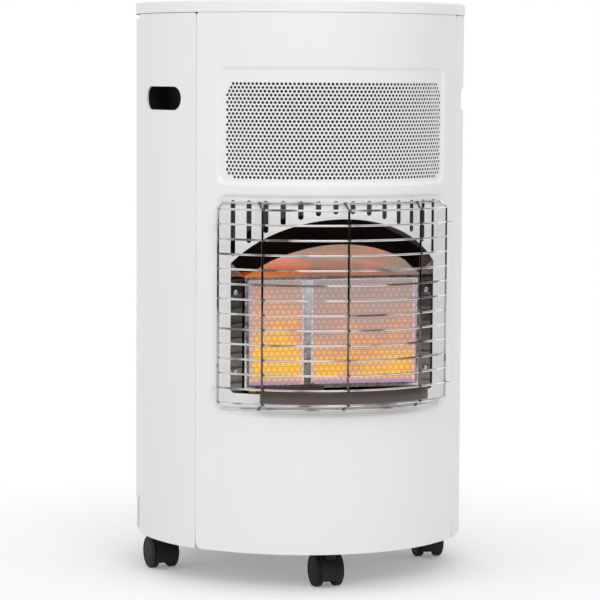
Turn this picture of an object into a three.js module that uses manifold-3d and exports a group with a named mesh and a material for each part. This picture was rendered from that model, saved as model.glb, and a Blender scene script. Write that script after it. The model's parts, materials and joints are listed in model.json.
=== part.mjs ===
// Portable gas cabinet heater: a sheet-steel cabinet on four twin-wheel castors, with a ceramic
// burner behind a wire guard, a bottle bay at the back and the controls sunk in the lid.
// Millimetres, +Z up, front towards -Y. The origin is on the floor under the middle of the heater.
import * as THREE from 'three';
import { mergeVertices } from 'three/addons/utils/BufferGeometryUtils.js';
import Module from 'manifold-3d';

const wasm = await Module();
wasm.setup();

// ---- Driving dimensions -------------------------------------------------------------------------
// Fits
const FIT = 0.3; // clearance between pieces that touch
const SHEET = 1; // painted cabinet sheet
const SHEET_FIT = FIT + 0.2; // clearance between formed sheets

// Cabinet, seen from above. A heading is the direction of travel in degrees, anticlockwise.
const FRONT_RADIUS = 207;
const FRONT_APEX = -210; // foremost line of the front shell
const FRONT_HEADING = 43; // heading where the round front ends
const TAIL_LENGTH = 46; // flat strip between the round front and the seam
const SIDE_HALF_WIDTH = 219;
const REAR_SEAM_Y = 21.5; // line between side panel and rear cover
const SEAM_GAP = 0.8; // open line between front shell and side panel
const SEAM_FLANGE = 14;
const REAR_FLANGE = 16;
const COVER_SET = 0.5; // the rear cover is this much narrower than the side panels on each side
const COVER_RUN = 2.8; // straight strip of the cover beside the seam
const COVER_FLAT = 13.5; // half of the flat strip at the back
const COVER_HALF_WIDTH = SIDE_HALF_WIDTH - COVER_SET;
const COVER_RADIUS = COVER_HALF_WIDTH - COVER_FLAT;
const COVER_BACK = REAR_SEAM_Y + SHEET_FIT + COVER_RUN + COVER_RADIUS;
const COVER_FLANGE = 8;
const COVER_CHAMFER = 12;
const COVER_VENT = { count: 11, pitch: 24, width: 7, length: 34, low: 130, high: 660 };

// Cabinet, heights above the floor
const SHELL_BOTTOM = 49;
const SHELL_TOP = 742;
const SIDE_TOP = 741.7;
const COVER_BOTTOM = 91;
const COVER_TOP = 736;
const LID_TOP = 757;
const LID_OVERHANG = 1;
const LID_HEM = 8;
const SKIRT_FROM_SEAM = 46; // the skirt over the rear cover starts this far behind the seam
const FLANGE_INSET = 10; // the seam flanges stop this far below the top edge
const SHELL_CORNER = 10; // lower corners of the front shell
const SEAM_CORNER = 4; // other corners beside the seam

// Pressed panels of the front shell
const RECESS_DEPTH = 3.5;
const RECESS_BEVEL = 5;
const RECESS_HALF_LENGTH = 172;
const FIRE_APEX = 480; // top of the arched fire opening
const FLUE_TOP = FIRE_APEX + 23;
const FIRE_PANEL = { bottom: 226, top: FLUE_TOP + 8, lowerCorner: 20, upperCorner: 15 };
const PANEL_GAP = 11; // plain sheet between the two pressed panels
const VENT_FOOT = FIRE_PANEL.top + PANEL_GAP;
const VENT_HEIGHT = 152;
const VENT_PANEL = { bottom: VENT_FOOT, top: VENT_FOOT + VENT_HEIGHT, lowerCorner: 15, upperCorner: 15 };

// Vent holes
const VENT_HALF_LENGTH = 157;
const VENT_LOWER_BORDER = 12;
const VENT_UPPER_BORDER = 20;
const VENT_BOTTOM = VENT_PANEL.bottom + VENT_LOWER_BORDER;
const VENT_TOP = VENT_PANEL.top - VENT_UPPER_BORDER;
const VENT_PITCH = 27.5;
const VENT_HOLE_RADIUS = 8.5;
const VENT_HOLE_SIDES = 6;

// Fire opening and the flue slots above it
const FIRE_HALF_LENGTH = 152;
const FIRE_BOTTOM = 255;
const FIRE_ARCH_RADIUS = 228;
const FIRE_CORNER = 6;
const FLUE_SLOTS = 14;
const FLUE_PITCH = 22.9;
const FLUE_WIDTH = 7;
const FLUE_RISE = 6.5; // strip of sheet between the arch and a slot

// Hand slots in the side panels
const HAND_LENGTH = 89;
const HAND_HEIGHT = 30.5;
const HAND_Z = 631.6;
const HAND_FROM_SEAM = 73; // middle of the slot, along the panel
const CUP_DEPTH = 36;
const CUP_WALL = 2;

// Base tray and gas bottle
const TRAY_SHEET = 1.5;
const TRAY_FLOOR = 51; // underside
const TRAY_RIM = 70;
const APRON_TOP = 110;
const BOTTLE_RADIUS = 150;
const BOTTLE_Y = 70;
const BOTTLE_PLAY = 1.5;
const BOTTLE_RING_WALL = 2.5;
const BOTTLE_RING_HEIGHT = 10;
const RING_SIDES = 36;

// Heat shield between fire and bottle
const SHIELD_Y = -88; // front face
const SHIELD_TOP = 600;

// Burner
const BURNER_FACE_Y = -155;
const BURNER_BOTTOM = 263;
const PLAQUE_HEIGHT = 137;
const PLAQUE_THICKNESS = 13;
const FIRST_PLAQUE_WIDTH = 76;
const PLAQUE_WIDTH = 72;
const DIVIDER_WIDTH = 6;
const HOUSING_WALL = 1.2;
const HOUSING_LEDGE = 5;
const FRAME_THICKNESS = 1.5;
const FRAME_BORDER = 4;
const FRAME_LAP = 1.3; // overlap of the frame on the edge of a plaque

// Reflectors
const REFLECTOR_SHEET = 0.8;
const REFLECTOR_HALF_WIDTH = 138;
const REFLECTOR_FACE_Y = -149;
const HOOD_TOP = 447;
const HOOD_REACH = 196; // radius of the hood's front edge about the axis of the round front
const HOOD_CREASE_HEADING = 27;
const HOOD_CORNER_DROP = 16;
const HOOD_STEPS = 12; // an even number, along the front edge between the creases
const HOOD_FOLD_STEPS = 4;
const TRAY_DROP = 2.2; // reflector floor below the fire opening
const SHELL_CLEARANCE = 0.8; // between the reflectors and the inside of the shell
const CORNER_HEIGHT = 22;

// Deflector bar
const BAR_LEFT = -107.5;
const BAR_RIGHT = 118.5;
const BAR_SHEET = 1.2;
const BAR_STEPS = 16;

// Wire guard
const GUARD_FRONT = -232;
const GUARD_AXIS_Y = -39;
const GUARD_HALF_WIDTH = 153;
const GUARD_ROWS = 14;
const GUARD_TOP = FIRE_APEX + 12;
const GUARD_PITCH = 19.1;
const GUARD_WALL_TOP = GUARD_TOP + 8;
const GUARD_WALL_BOTTOM = 236;
const GUARD_UPRIGHT_X = 105;
const GUARD_WIRE = 1.5; // radius
const GUARD_WALL_TAIL = 8; // flat ends of the wires that lie along the panel
const GUARD_WELD = 0.6; // depth that two welded wires share
const GUARD_SIDES = 4;
const GUARD_STEPS = 10; // an even number, so that the middle of a row is its foremost point
const GUARD_LUG = 7;
const GUARD_LUG_ROWS = [1, 12];

// Pilot
const PILOT_X = -37;
const PILOT_STRIP = { left: -104, right: -14, sheet: 1 };
const PILOT_RADIUS = 3;
const PILOT_RISE = 12;
const PROBE_RADIUS = 2;
const ELECTRODE_RADIUS = 2.5;
const ELECTRODE_LENGTH = 23;
const NEEDLE_RADIUS = 0.8;
const NEEDLE_LENGTH = 8;
const NEEDLE_GAP = 3;

// Screws of the side reflectors
const SCREW_X = 128;
const SCREW_HEIGHTS = [281, 384];
const SCREW_HEAD_RADIUS = 3.5;
const SCREW_HEAD = 2.4;
const SCREW_SHANK_RADIUS = 1.7;
const SCREW_SHANK = 8;

// Controls
const WELL_FROM_BACK = 24.8;
const WELL = { halfLength: 90, width: 80, corner: 10, depth: 30, wall: 2, flange: 8 };
const CONTROL_Y = COVER_BACK - WELL_FROM_BACK - WELL.width / 2;
const KNOB_X = -38;
const KNOB_RADIUS = 22;
const KNOB_HEIGHT = 20;
const KNOB_LIFT = 6.5; // room under the knob for its push
const KNOB_BORE = 14;
const STEM_RADIUS = 4;
const STEM_SOCKET = 16; // depth of the stem's socket in the valve
const KNOB_SKIRT = 4;
const KNOB_SHOULDER = 3; // width of the skirt round the knob
const KNOB_TAPER = 1;
const KNOB_GRIP = 8; // height and width of the bar on the knob
const VALVE = { width: 60, depth: 36, height: 34 };
const BUTTON_X = 48;
const BUTTON_RADIUS = 7;
const BUTTON_RISE = 12;
const BUTTON_TRAVEL = 5;
const BUTTON_DEPTH = 7; // length inside the igniter
const IGNITER_RADIUS = 11;
const IGNITER_LENGTH = 34;
const IGNITER_LIP = 3;
const IGNITER_FLANGE = 4; // width of the lip round the body
const BUTTON_EDGE = 1;
const NOZZLE_LENGTH = 30;
const NOZZLE_RADIUS = 5;
const NOZZLE_BARB = 1;
const NOZZLE_COLLAR = 7; // radius
const PORT_DEPTH = 5;

// Pipes
const SUPPLY_RADIUS = 4;
const SUPPLY_INLET = { x: -60, z: 330 };
const PILOT_PIPE_RADIUS = 2;
const PILOT_PIPE_X = -112;
const PIPE_DOWN_X = -136;
const PIPE_SPACING = 12;
const PIPE_BEND = 14;
const PIPE_OFFSET = 11; // pipe axes behind the heat shield

// Castors
const WHEEL_RADIUS = 22;
const WHEEL_WIDTH = 8.5;
const WHEEL_SEGMENTS = 16;
const CASTOR_TRAIL = 15;
const CASTOR_WEB = 18;
const CASTOR_PLAY = 0.5;
const CASTOR_ARCH = 9; // height of the arch under the web
const CASTOR_STEPS = 12;
const HOOD_SKIN = 2.2;
const HOOD_PLAY = 0.8;
const HOOD_SET = 3.5; // the wheels stand out of the hood on both sides
const HOOD_FRONT_HEADING = 300; // the hood reaches low in front
const HOOD_BACK_HEADING = 115;
const WHEEL_FACE = 2.5;
const WHEEL_EDGE = 1;
const WHEEL_SHOULDER = 2;
const AXLE_RADIUS = 3;
const PIN_RADIUS = 4;
const PIN_COLLAR_RADIUS = 8;
const CASTOR_BOSS_WALL = 4;
const CASTOR_BOSS_HEIGHT = 8;
const CASTOR_FROM_FRONT = 33;
const CASTOR_FROM_SIDE = 32.5;
const CASTOR_FROM_BACK = 47.8;
// Place of each pin, and the degrees that the castor stands turned at rest.
const CASTOR_STEMS = {
  front: [-8, FRONT_APEX + CASTOR_FROM_FRONT, 5],
  left: [CASTOR_FROM_SIDE - SIDE_HALF_WIDTH, 6, 10],
  right: [SIDE_HALF_WIDTH - CASTOR_FROM_SIDE, 6, 0],
  rear: [0, COVER_BACK - CASTOR_FROM_BACK, 5],
};

// ---- Finishes -----------------------------------------------------------------------------------
const WHITE_PAINT = { color: 0xefefef, roughness: 0.35, metalness: 0 };
const GALVANISED = { color: 0x9a9c9e, roughness: 0.5, metalness: 0.8 };
const POLISHED = { color: 0xd8d6d2, roughness: 0.15, metalness: 1 };
const CHROME = { color: 0xe4e4e4, roughness: 0.1, metalness: 1 };
const CERAMIC = { color: 0xe8a04c, roughness: 0.9, metalness: 0 };
const DARK_STEEL = { color: 0x3a302a, roughness: 0.4, metalness: 0.6 };
const BLACK_PLASTIC = { color: 0x1b1b1c, roughness: 0.5, metalness: 0 };
const RUBBER = { color: 0x2b2b2c, roughness: 0.7, metalness: 0 };
const BRASS = { color: 0xb8923f, roughness: 0.35, metalness: 0.9 };
const RED_PLASTIC = { color: 0x8c1a17, roughness: 0.4, metalness: 0 };
const PORCELAIN = { color: 0xf2efe8, roughness: 0.4, metalness: 0 };
const BRIGHT_STEEL = { color: 0xc6c8ca, roughness: 0.3, metalness: 0.9 };

const SPAN = 2000; // more than the whole heater
const MERGE = 0.01; // corners of a sheet closer than this are one

// ---- Solids -------------------------------------------------------------------------------------
const heater = new THREE.Group();

function flipped(geometry) {
  const index = geometry.index.array;
  for (let i = 0; i < index.length; i += 3) [index[i], index[i + 1]] = [index[i + 1], index[i]];
  return geometry;
}

function volumeOf(geometry) {
  const at = geometry.attributes.position;
  const corner = (i) => new THREE.Vector3().fromBufferAttribute(at, geometry.index.getX(i));
  let six = 0;
  for (let i = 0; i < geometry.index.count; i += 3) six += corner(i).dot(corner(i + 1).cross(corner(i + 2)));
  return six / 6;
}

// One closed mesh with shared corners and its faces pointing out.
function closed(geometry) {
  const plain = geometry.clone();
  plain.deleteAttribute('normal');
  if (plain.attributes.uv) plain.deleteAttribute('uv');
  const merged = mergeVertices(plain, 1e-4);
  return volumeOf(merged) < 0 ? flipped(merged) : merged;
}

function solid(geometry) {
  const merged = closed(geometry);
  return new wasm.Manifold(new wasm.Mesh({
    numProp: 3,
    vertProperties: new Float32Array(merged.attributes.position.array),
    triVerts: new Uint32Array(merged.index.array),
  }));
}

function geometryOf(body) {
  const mesh = body.getMesh();
  const geometry = new THREE.BufferGeometry();
  geometry.setAttribute('position', new THREE.BufferAttribute(mesh.vertProperties, 3));
  geometry.setIndex(new THREE.BufferAttribute(mesh.triVerts, 1));
  return geometry;
}

const joined = (geometries) => geometryOf(geometries.map(solid).reduce((a, b) => a.add(b)));
const taken = (body, cutter) => body.subtract(cutter);
const cut = (geometry, cutters) => geometryOf(cutters.map(solid).reduce(taken, solid(geometry)));
const common = (geometry, other) => geometryOf(solid(geometry).intersect(solid(other)));

function mirrored(geometry) {
  const copy = closed(geometry);
  copy.scale(-1, 1, 1);
  return flipped(copy);
}

function addPiece(name, geometry, finish) {
  const surface = closed(geometry).toNonIndexed();
  surface.computeVertexNormals();
  const mesh = new THREE.Mesh(surface, new THREE.MeshStandardMaterial(finish));
  mesh.name = name;
  heater.add(mesh);
}

// ---- Shapes -------------------------------------------------------------------------------------
const { degToRad } = THREE.MathUtils;
const point = (x, y) => new THREE.Vector2(x, y);
const mirroredPoints = (points) => points.map((p) => point(-p.x, p.y)).reverse();

// The point where a circle, travelled anticlockwise, has the given heading.
function atHeading(centre, radius, heading) {
  const turn = degToRad(heading);
  return point(centre.x + radius * Math.sin(turn), centre.y - radius * Math.cos(turn));
}

function arc(centre, radius, fromHeading, toHeading, steps) {
  const points = [];
  for (let i = 0; i <= steps; i++) {
    points.push(atHeading(centre, radius, fromHeading + ((toHeading - fromHeading) * i) / steps));
  }
  return points;
}

const circle = (centre, radius, sides) => arc(centre, radius, 0, 360, sides).slice(0, sides);

function roundedRectangle(x0, x1, y0, y1, lower, upper = lower, steps = 4) {
  return [
    ...arc(point(x1 - lower, y0 + lower), lower, 0, 90, steps),
    ...arc(point(x1 - upper, y1 - upper), upper, 90, 180, steps),
    ...arc(point(x0 + upper, y1 - upper), upper, 180, 270, steps),
    ...arc(point(x0 + lower, y0 + lower), lower, 270, 360, steps),
  ];
}

// A slot with round ends, standing upright or lying along its length.
function uprightSlot(x, bottom, top, width, steps = 4) {
  const radius = width / 2;
  return [
    ...arc(point(x, bottom + radius), radius, -90, 90, steps),
    ...arc(point(x, top - radius), radius, 90, 270, steps),
  ];
}

function lyingSlot(centre, length, height, steps = 6) {
  const radius = height / 2;
  const half = length / 2 - radius;
  return [
    ...arc(point(centre.x + half, centre.y), radius, 0, 180, steps),
    ...arc(point(centre.x - half, centre.y), radius, 180, 360, steps),
  ];
}

function prism(outline, bottom, top, holes = []) {
  const shape = new THREE.Shape(outline);
  shape.holes = holes.map((hole) => new THREE.Path(hole));
  const geometry = new THREE.ExtrudeGeometry(shape, { depth: top - bottom, bevelEnabled: false });
  return geometry.translate(0, 0, bottom);
}

// A prism whose outline is given as (y, z) and which runs along X, or as (x, z) and runs along Y.
const QUARTER = Math.PI / 2;
const alongX = (outline, x0, x1, holes) => prism(outline, x0, x1, holes).rotateX(QUARTER).rotateZ(QUARTER);
const alongY = (outline, y0, y1, holes) => prism(outline, -y1, -y0, holes).rotateX(QUARTER);

function block(x0, x1, y0, y1, z0, z1) {
  return new THREE.BoxGeometry(x1 - x0, y1 - y0, z1 - z0)
    .translate((x0 + x1) / 2, (y0 + y1) / 2, (z0 + z1) / 2);
}

const rod = (x, y, radius, bottom, top, sides = 16) => prism(circle(point(x, y), radius, sides), bottom, top);

// A turned piece about Z: the profile is a list of [radius, height] that starts and ends on the axis.
function turned(profile, segments) {
  const points = profile.map(([radius, height]) => point(radius, height));
  return new THREE.LatheGeometry(points, segments).rotateX(Math.PI / 2);
}

// A path whose sections stand exactly at the listed points.
class StationPath extends THREE.Curve {
  constructor(points) {
    super();
    this.points = points;
  }
  getPoint(t) {
    const last = this.points.length - 1;
    const i = Math.min(Math.floor(t * last + 1e-9), last - 1);
    return this.points[i].clone().lerp(this.points[i + 1], t * last - i);
  }
  getPointAt(u) {
    return this.getPoint(u);
  }
  getTangent(t) {
    const last = this.points.length - 1;
    const i = Math.round(t * last);
    const before = this.points[Math.max(i - 1, 0)];
    const after = this.points[Math.min(i + 1, last)];
    return after.clone().sub(before).normalize();
  }
  getTangentAt(u) {
    return this.getTangent(u);
  }
}

function wire(points, radius, sides) {
  const section = new THREE.Shape(circle(point(0, 0), radius, sides));
  return new THREE.ExtrudeGeometry(section, {
    steps: points.length - 1,
    extrudePath: new StationPath(points),
    bevelEnabled: false,
  });
}

// A route of straight runs, with every corner rounded.
function bentRoute(corners, radius, steps = 4) {
  const route = [corners[0]];
  for (let i = 1; i < corners.length - 1; i++) {
    const [before, corner, after] = corners.slice(i - 1, i + 2);
    const start = corner.clone().sub(before).setLength(radius).negate().add(corner);
    const end = after.clone().sub(corner).setLength(radius).add(corner);
    const bend = new THREE.QuadraticBezierCurve3(start, corner, end);
    route.push(...bend.getPoints(steps));
  }
  route.push(corners[corners.length - 1]);
  return route;
}

const spot = (x, y, z) => new THREE.Vector3(x, y, z);

// ---- Formed sheets ------------------------------------------------------------------------------
// A sheet is drawn flat, as regions and bevel bands. Its corners are { s, z, depth }: s along the
// plan line, z up and depth into the cabinet. It is then laid on the plan line, given folds there,
// and given its thickness.
const region = (outline, holes, depth) => ({ outline, holes, depth });

// The faces of a flat region between two folds.
function stripFaces(plate, from, to, depth) {
  const mesh = plate.intersect(solid(block(from, to, -SPAN, SPAN, -1, 2))).getMesh();
  const corner = (i) => ({ s: mesh.vertProperties[3 * i], z: mesh.vertProperties[3 * i + 1], depth });
  const isTop = (i) => mesh.vertProperties[3 * i + 2] > 0.5;
  const faces = [];
  for (let i = 0; i < mesh.triVerts.length; i += 3) {
    const face = [...mesh.triVerts.slice(i, i + 3)];
    if (face.every(isTop)) faces.push(face.map(corner));
  }
  return faces;
}

function regionFaces({ outline, holes, depth }, folds) {
  const plate = solid(prism(outline, 0, 1, holes));
  const edges = [-SPAN, ...folds, SPAN];
  return edges.slice(1).flatMap((end, i) => stripFaces(plate, edges[i], end, depth));
}

function bevelBand(outer, inner, depth) {
  const faces = [];
  outer.forEach((_, i) => {
    const next = (i + 1) % outer.length;
    const high = (p) => ({ s: p.x, z: p.y, depth: 0 });
    const low = (p) => ({ s: p.x, z: p.y, depth });
    faces.push([high(outer[i]), high(outer[next]), low(inner[next])]);
    faces.push([high(outer[i]), low(inner[next]), low(inner[i])]);
  });
  return faces;
}

// Where the edge from a to b crosses a fold, the same whichever way the edge runs.
function crossing(a, b, fold) {
  const [from, to] = a.s < b.s ? [a, b] : [b, a];
  const t = (fold - from.s) / (to.s - from.s);
  const blend = (key) => from[key] + (to[key] - from[key]) * t;
  return { s: fold, z: blend('z'), depth: blend('depth') };
}

function splitAtFold(faces, fold) {
  const side = (corner) => (Math.abs(corner.s - fold) < 1e-6 ? 0 : Math.sign(corner.s - fold));
  return faces.flatMap((face) => {
    const sides = face.map(side);
    if (!(sides.includes(1) && sides.includes(-1))) return [face];
    const parts = { '1': [], '-1': [] };
    face.forEach((corner, i) => {
      const next = (i + 1) % 3;
      if (sides[i] >= 0) parts[1].push(corner);
      if (sides[i] <= 0) parts[-1].push(corner);
      if (sides[i] * sides[next] < 0) {
        const middle = crossing(corner, face[next], fold);
        parts[1].push(middle);
        parts[-1].push(middle);
      }
    });
    return Object.values(parts).flatMap((ring) => {
      const pieces = [];
      for (let i = 1; i < ring.length - 1; i++) pieces.push([ring[0], ring[i], ring[i + 1]]);
      return pieces;
    });
  });
}

// Gives the faces on both sides of a fold the same corners along it.
function matchedAtFold(faces, fold) {
  const onFold = (corner) => Math.abs(corner.s - fold) < MERGE;
  const shared = faces.flat().filter(onFold);
  return faces.flatMap((face) => {
    if (face.every(onFold)) return [];
    const apex = face.findIndex((corner) => !onFold(corner));
    const rest = [face[(apex + 1) % 3], face[(apex + 2) % 3]];
    if (!rest.every(onFold)) return [face];
    const [from, to] = rest;
    const along = (corner) => (corner.z - from.z) / (to.z - from.z);
    const margin = MERGE / Math.abs(to.z - from.z);
    const between = shared.filter((corner) => along(corner) > margin && along(corner) < 1 - margin);
    between.sort((p, q) => along(p) - along(q));
    const ring = [from, ...between, to];
    return ring.slice(1).map((corner, i) => [face[apex], ring[i], corner]);
  });
}

// Distance along the plan line and mitred inward direction at every fold.
function planLine(points) {
  const along = (i) => points[i + 1].clone().sub(points[i]).normalize();
  const inward = (direction) => point(-direction.y, direction.x);
  const last = points.length - 1;
  let s = 0;
  return points.map((p, i) => {
    if (i > 0) s += p.distanceTo(points[i - 1]);
    const before = inward(along(Math.max(i - 1, 0)));
    const after = inward(along(Math.min(i, last - 1)));
    const mitre = before.clone().add(after).divideScalar(1 + before.dot(after));
    return { s, point: p, mitre };
  });
}

function onPlan(line, s, depth) {
  let i = 1;
  while (i < line.length - 1 && line[i].s < s) i++;
  const [from, to] = [line[i - 1], line[i]];
  const start = from.point.clone().addScaledVector(from.mitre, depth);
  const end = to.point.clone().addScaledVector(to.mitre, depth);
  return start.lerp(end, (s - from.s) / (to.s - from.s));
}

// Gives a surface its thickness: outer and inner map a corner to its two places in space.
function thickened(faces, outer, inner) {
  const corners = [];
  const cells = new Map();
  const cell = (value) => Math.round(value / MERGE);
  const numberOf = (corner) => {
    for (const ds of [0, -1, 1]) {
      for (const dz of [0, -1, 1]) {
        const found = cells.get(`${cell(corner.s) + ds} ${cell(corner.z) + dz}`);
        if (found !== undefined) return found;
      }
    }
    cells.set(`${cell(corner.s)} ${cell(corner.z)}`, corners.length);
    corners.push(corner);
    return corners.length - 1;
  };
  const isWhole = ([a, b, c]) => a !== b && b !== c && c !== a;
  const triangles = faces.map((face) => face.map(numberOf)).filter(isWhole);
  const edges = new Set(triangles.flatMap(([a, b, c]) => [`${a} ${b}`, `${b} ${c}`, `${c} ${a}`]));
  const count = corners.length;
  const index = [];
  triangles.forEach(([a, b, c]) => {
    index.push(a, b, c, a + count, c + count, b + count);
    [[a, b], [b, c], [c, a]].forEach(([p, q]) => {
      if (!edges.has(`${q} ${p}`)) index.push(q, p, p + count, q, p + count, q + count);
    });
  });
  const places = [...corners.map(outer), ...corners.map(inner)];
  const geometry = new THREE.BufferGeometry().setFromPoints(places);
  geometry.setIndex(index);
  return geometry;
}

function sheetOnPlan(line, regions, bands = []) {
  const folds = line.slice(1, -1).map((station) => station.s);
  const split = [
    ...regions.flatMap((part) => regionFaces(part, folds)),
    ...folds.reduce(splitAtFold, bands),
  ];
  const folded = folds.reduce(matchedAtFold, split);
  const place = (corner, depth) => {
    const p = onPlan(line, corner.s, corner.depth + depth);
    return spot(p.x, p.y, corner.z);
  };
  return thickened(folded, (corner) => place(corner, 0), (corner) => place(corner, SHEET));
}

// ---- Plan lines of the cabinet ------------------------------------------------------------------
const FRONT_CENTRE = point(0, FRONT_APEX + FRONT_RADIUS);
const heading = (degrees) => point(Math.cos(degToRad(degrees)), Math.sin(degToRad(degrees)));
const SEAM = atHeading(FRONT_CENTRE, FRONT_RADIUS, FRONT_HEADING)
  .addScaledVector(heading(FRONT_HEADING), TAIL_LENGTH);
const SIDE_RISE = SIDE_HALF_WIDTH - SEAM.x;
const SIDE_RADIUS = ((REAR_SEAM_Y - SEAM.y) ** 2 + SIDE_RISE ** 2) / (2 * SIDE_RISE);
const SIDE_HEADING = Math.acos((REAR_SEAM_Y - SEAM.y) / SIDE_RADIUS) * THREE.MathUtils.RAD2DEG;
const SEAM_HEADING = (FRONT_HEADING + SIDE_HEADING) / 2;
const SEAM_INWARD = heading(SEAM_HEADING + 90);
const FRONT_END = SEAM.clone().addScaledVector(heading(SEAM_HEADING), -SEAM_GAP / 2);
const SIDE_START = SEAM.clone().addScaledVector(heading(SEAM_HEADING), SEAM_GAP / 2);
const SIDE_CENTRE = point(SIDE_HALF_WIDTH - SIDE_RADIUS, REAR_SEAM_Y);
const COVER_FRONT_Y = REAR_SEAM_Y + SHEET_FIT;
const FRONT_STEPS = 11; // an odd number
const SIDE_STEPS = 8;
const COVER_STEPS = 10;

function frontPlan() {
  const flange = FRONT_END.clone().addScaledVector(SEAM_INWARD, SEAM_FLANGE);
  const round = arc(FRONT_CENTRE, FRONT_RADIUS, -FRONT_HEADING, FRONT_HEADING, FRONT_STEPS);
  return planLine([...mirroredPoints([FRONT_END, flange]), ...round, FRONT_END, flange]);
}

function sidePlan() {
  const flange = SIDE_START.clone().addScaledVector(SEAM_INWARD, SEAM_FLANGE);
  const round = arc(SIDE_CENTRE, SIDE_RADIUS, SIDE_HEADING, 90, SIDE_STEPS).slice(1);
  return planLine([flange, SIDE_START, ...round, point(SIDE_HALF_WIDTH - REAR_FLANGE, REAR_SEAM_Y)]);
}

// The U of the rear, from the right front end round the back to the left, moved in by a distance.
function rearOutline(inset, frontY, steps = COVER_STEPS) {
  const corner = point(COVER_HALF_WIDTH - COVER_RADIUS, COVER_BACK - COVER_RADIUS);
  const turn = arc(corner, COVER_RADIUS - inset, 90, 180, steps);
  const half = [point(COVER_HALF_WIDTH - inset, frontY), ...turn];
  return [...half, ...mirroredPoints(half)];
}

// The outline of front and sides, from the left rear seam round to the right, moved in.
function frontOutline(inset) {
  const sweep = arc(SIDE_CENTRE, SIDE_RADIUS - inset, SIDE_HEADING, 90, SIDE_STEPS);
  const side = [seamPoint(inset), ...sweep.slice(1)];
  const round = arc(FRONT_CENTRE, FRONT_RADIUS - inset, -FRONT_HEADING, FRONT_HEADING, FRONT_STEPS);
  return [...mirroredPoints(side), ...round, ...side];
}

// The corner of the seam moved in, kept on both neighbouring faces.
function seamPoint(inset) {
  const before = heading(FRONT_HEADING + 90);
  const after = heading(SIDE_HEADING + 90);
  const mitre = before.clone().add(after).divideScalar(1 + before.dot(after));
  return SEAM.clone().addScaledVector(mitre, inset);
}

// ---- Cabinet ------------------------------------------------------------------------------------
function recess(panel) {
  const half = RECESS_HALF_LENGTH;
  const { bottom, top, lowerCorner, upperCorner } = panel;
  const bevel = RECESS_BEVEL;
  return {
    rim: roundedRectangle(-half, half, bottom, top, lowerCorner, upperCorner),
    floor: roundedRectangle(-half + bevel, half - bevel, bottom + bevel, top - bevel,
      lowerCorner - bevel, upperCorner - bevel),
  };
}

function ventHoles() {
  const rowPitch = (VENT_PITCH * Math.sqrt(3)) / 2;
  const rows = Math.floor((VENT_TOP - VENT_BOTTOM - 2 * VENT_HOLE_RADIUS) / rowPitch) + 1;
  const lowest = (VENT_TOP + VENT_BOTTOM - (rows - 1) * rowPitch) / 2;
  const holes = [];
  for (let row = 0; row < rows; row++) {
    const shift = (row % 2) / 2;
    const reach = Math.floor((VENT_HALF_LENGTH - VENT_HOLE_RADIUS) / VENT_PITCH - shift);
    for (let column = -reach - (row % 2); column <= reach; column++) {
      const centre = point((column + shift) * VENT_PITCH, lowest + row * rowPitch);
      holes.push(circle(centre, VENT_HOLE_RADIUS, VENT_HOLE_SIDES));
    }
  }
  return holes;
}

const archHeight = (s) => FIRE_APEX - FIRE_ARCH_RADIUS + Math.sqrt(FIRE_ARCH_RADIUS ** 2 - s ** 2);

function fireOutline() {
  const centre = point(0, FIRE_APEX - FIRE_ARCH_RADIUS);
  const spring = Math.acos(FIRE_HALF_LENGTH / FIRE_ARCH_RADIUS) * THREE.MathUtils.RAD2DEG;
  const half = FIRE_HALF_LENGTH;
  const corner = FIRE_CORNER;
  return [
    ...arc(point(half - corner, FIRE_BOTTOM + corner), corner, 0, 90, 3),
    ...arc(centre, FIRE_ARCH_RADIUS, 90 + spring, 270 - spring, 16),
    ...arc(point(-half + corner, FIRE_BOTTOM + corner), corner, 270, 360, 3),
  ];
}

function flueSlots() {
  const slots = [];
  for (let i = 0; i < FLUE_SLOTS; i++) {
    const s = (i - (FLUE_SLOTS - 1) / 2) * FLUE_PITCH;
    slots.push(uprightSlot(s, archHeight(s) + FLUE_RISE, FLUE_TOP, FLUE_WIDTH, 2));
  }
  return slots;
}

// The front sheet seen flat, with a seam flange beside each end.
function frontEdge(line) {
  const last = line.length - 1;
  const start = line[1].s;
  const end = line[last - 1].s;
  const flange = SHELL_TOP - FLANGE_INSET;
  const foot = TRAY_RIM + FIT + SHEET;
  return [
    ...arc(point(end - SHELL_CORNER, SHELL_BOTTOM + SHELL_CORNER), SHELL_CORNER, 0, 90, 3),
    point(end, foot), point(line[last].s, foot), point(line[last].s, flange), point(end, flange),
    ...arc(point(end - SEAM_CORNER, SHELL_TOP - SEAM_CORNER), SEAM_CORNER, 90, 180, 2),
    ...arc(point(start + SEAM_CORNER, SHELL_TOP - SEAM_CORNER), SEAM_CORNER, 180, 270, 2),
    point(start, flange), point(line[0].s, flange), point(line[0].s, foot), point(start, foot),
    ...arc(point(start + SHELL_CORNER, SHELL_BOTTOM + SHELL_CORNER), SHELL_CORNER, 270, 360, 3),
  ];
}

function addFrontShell() {
  const line = frontPlan();
  const middle = line[line.length - 1].s / 2;
  const centred = line.map((station) => ({ ...station, s: station.s - middle }));
  const vent = recess(VENT_PANEL);
  const fire = recess(FIRE_PANEL);
  const regions = [
    region(frontEdge(centred), [vent.rim, fire.rim], 0),
    region(vent.floor, ventHoles(), RECESS_DEPTH),
    region(fire.floor, [fireOutline(), ...flueSlots()], RECESS_DEPTH),
  ];
  const bands = [
    ...bevelBand(vent.rim, vent.floor, RECESS_DEPTH),
    ...bevelBand(fire.rim, fire.floor, RECESS_DEPTH),
  ];
  addPiece('front_shell', sheetOnPlan(centred, regions, bands), WHITE_PAINT);
}

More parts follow.
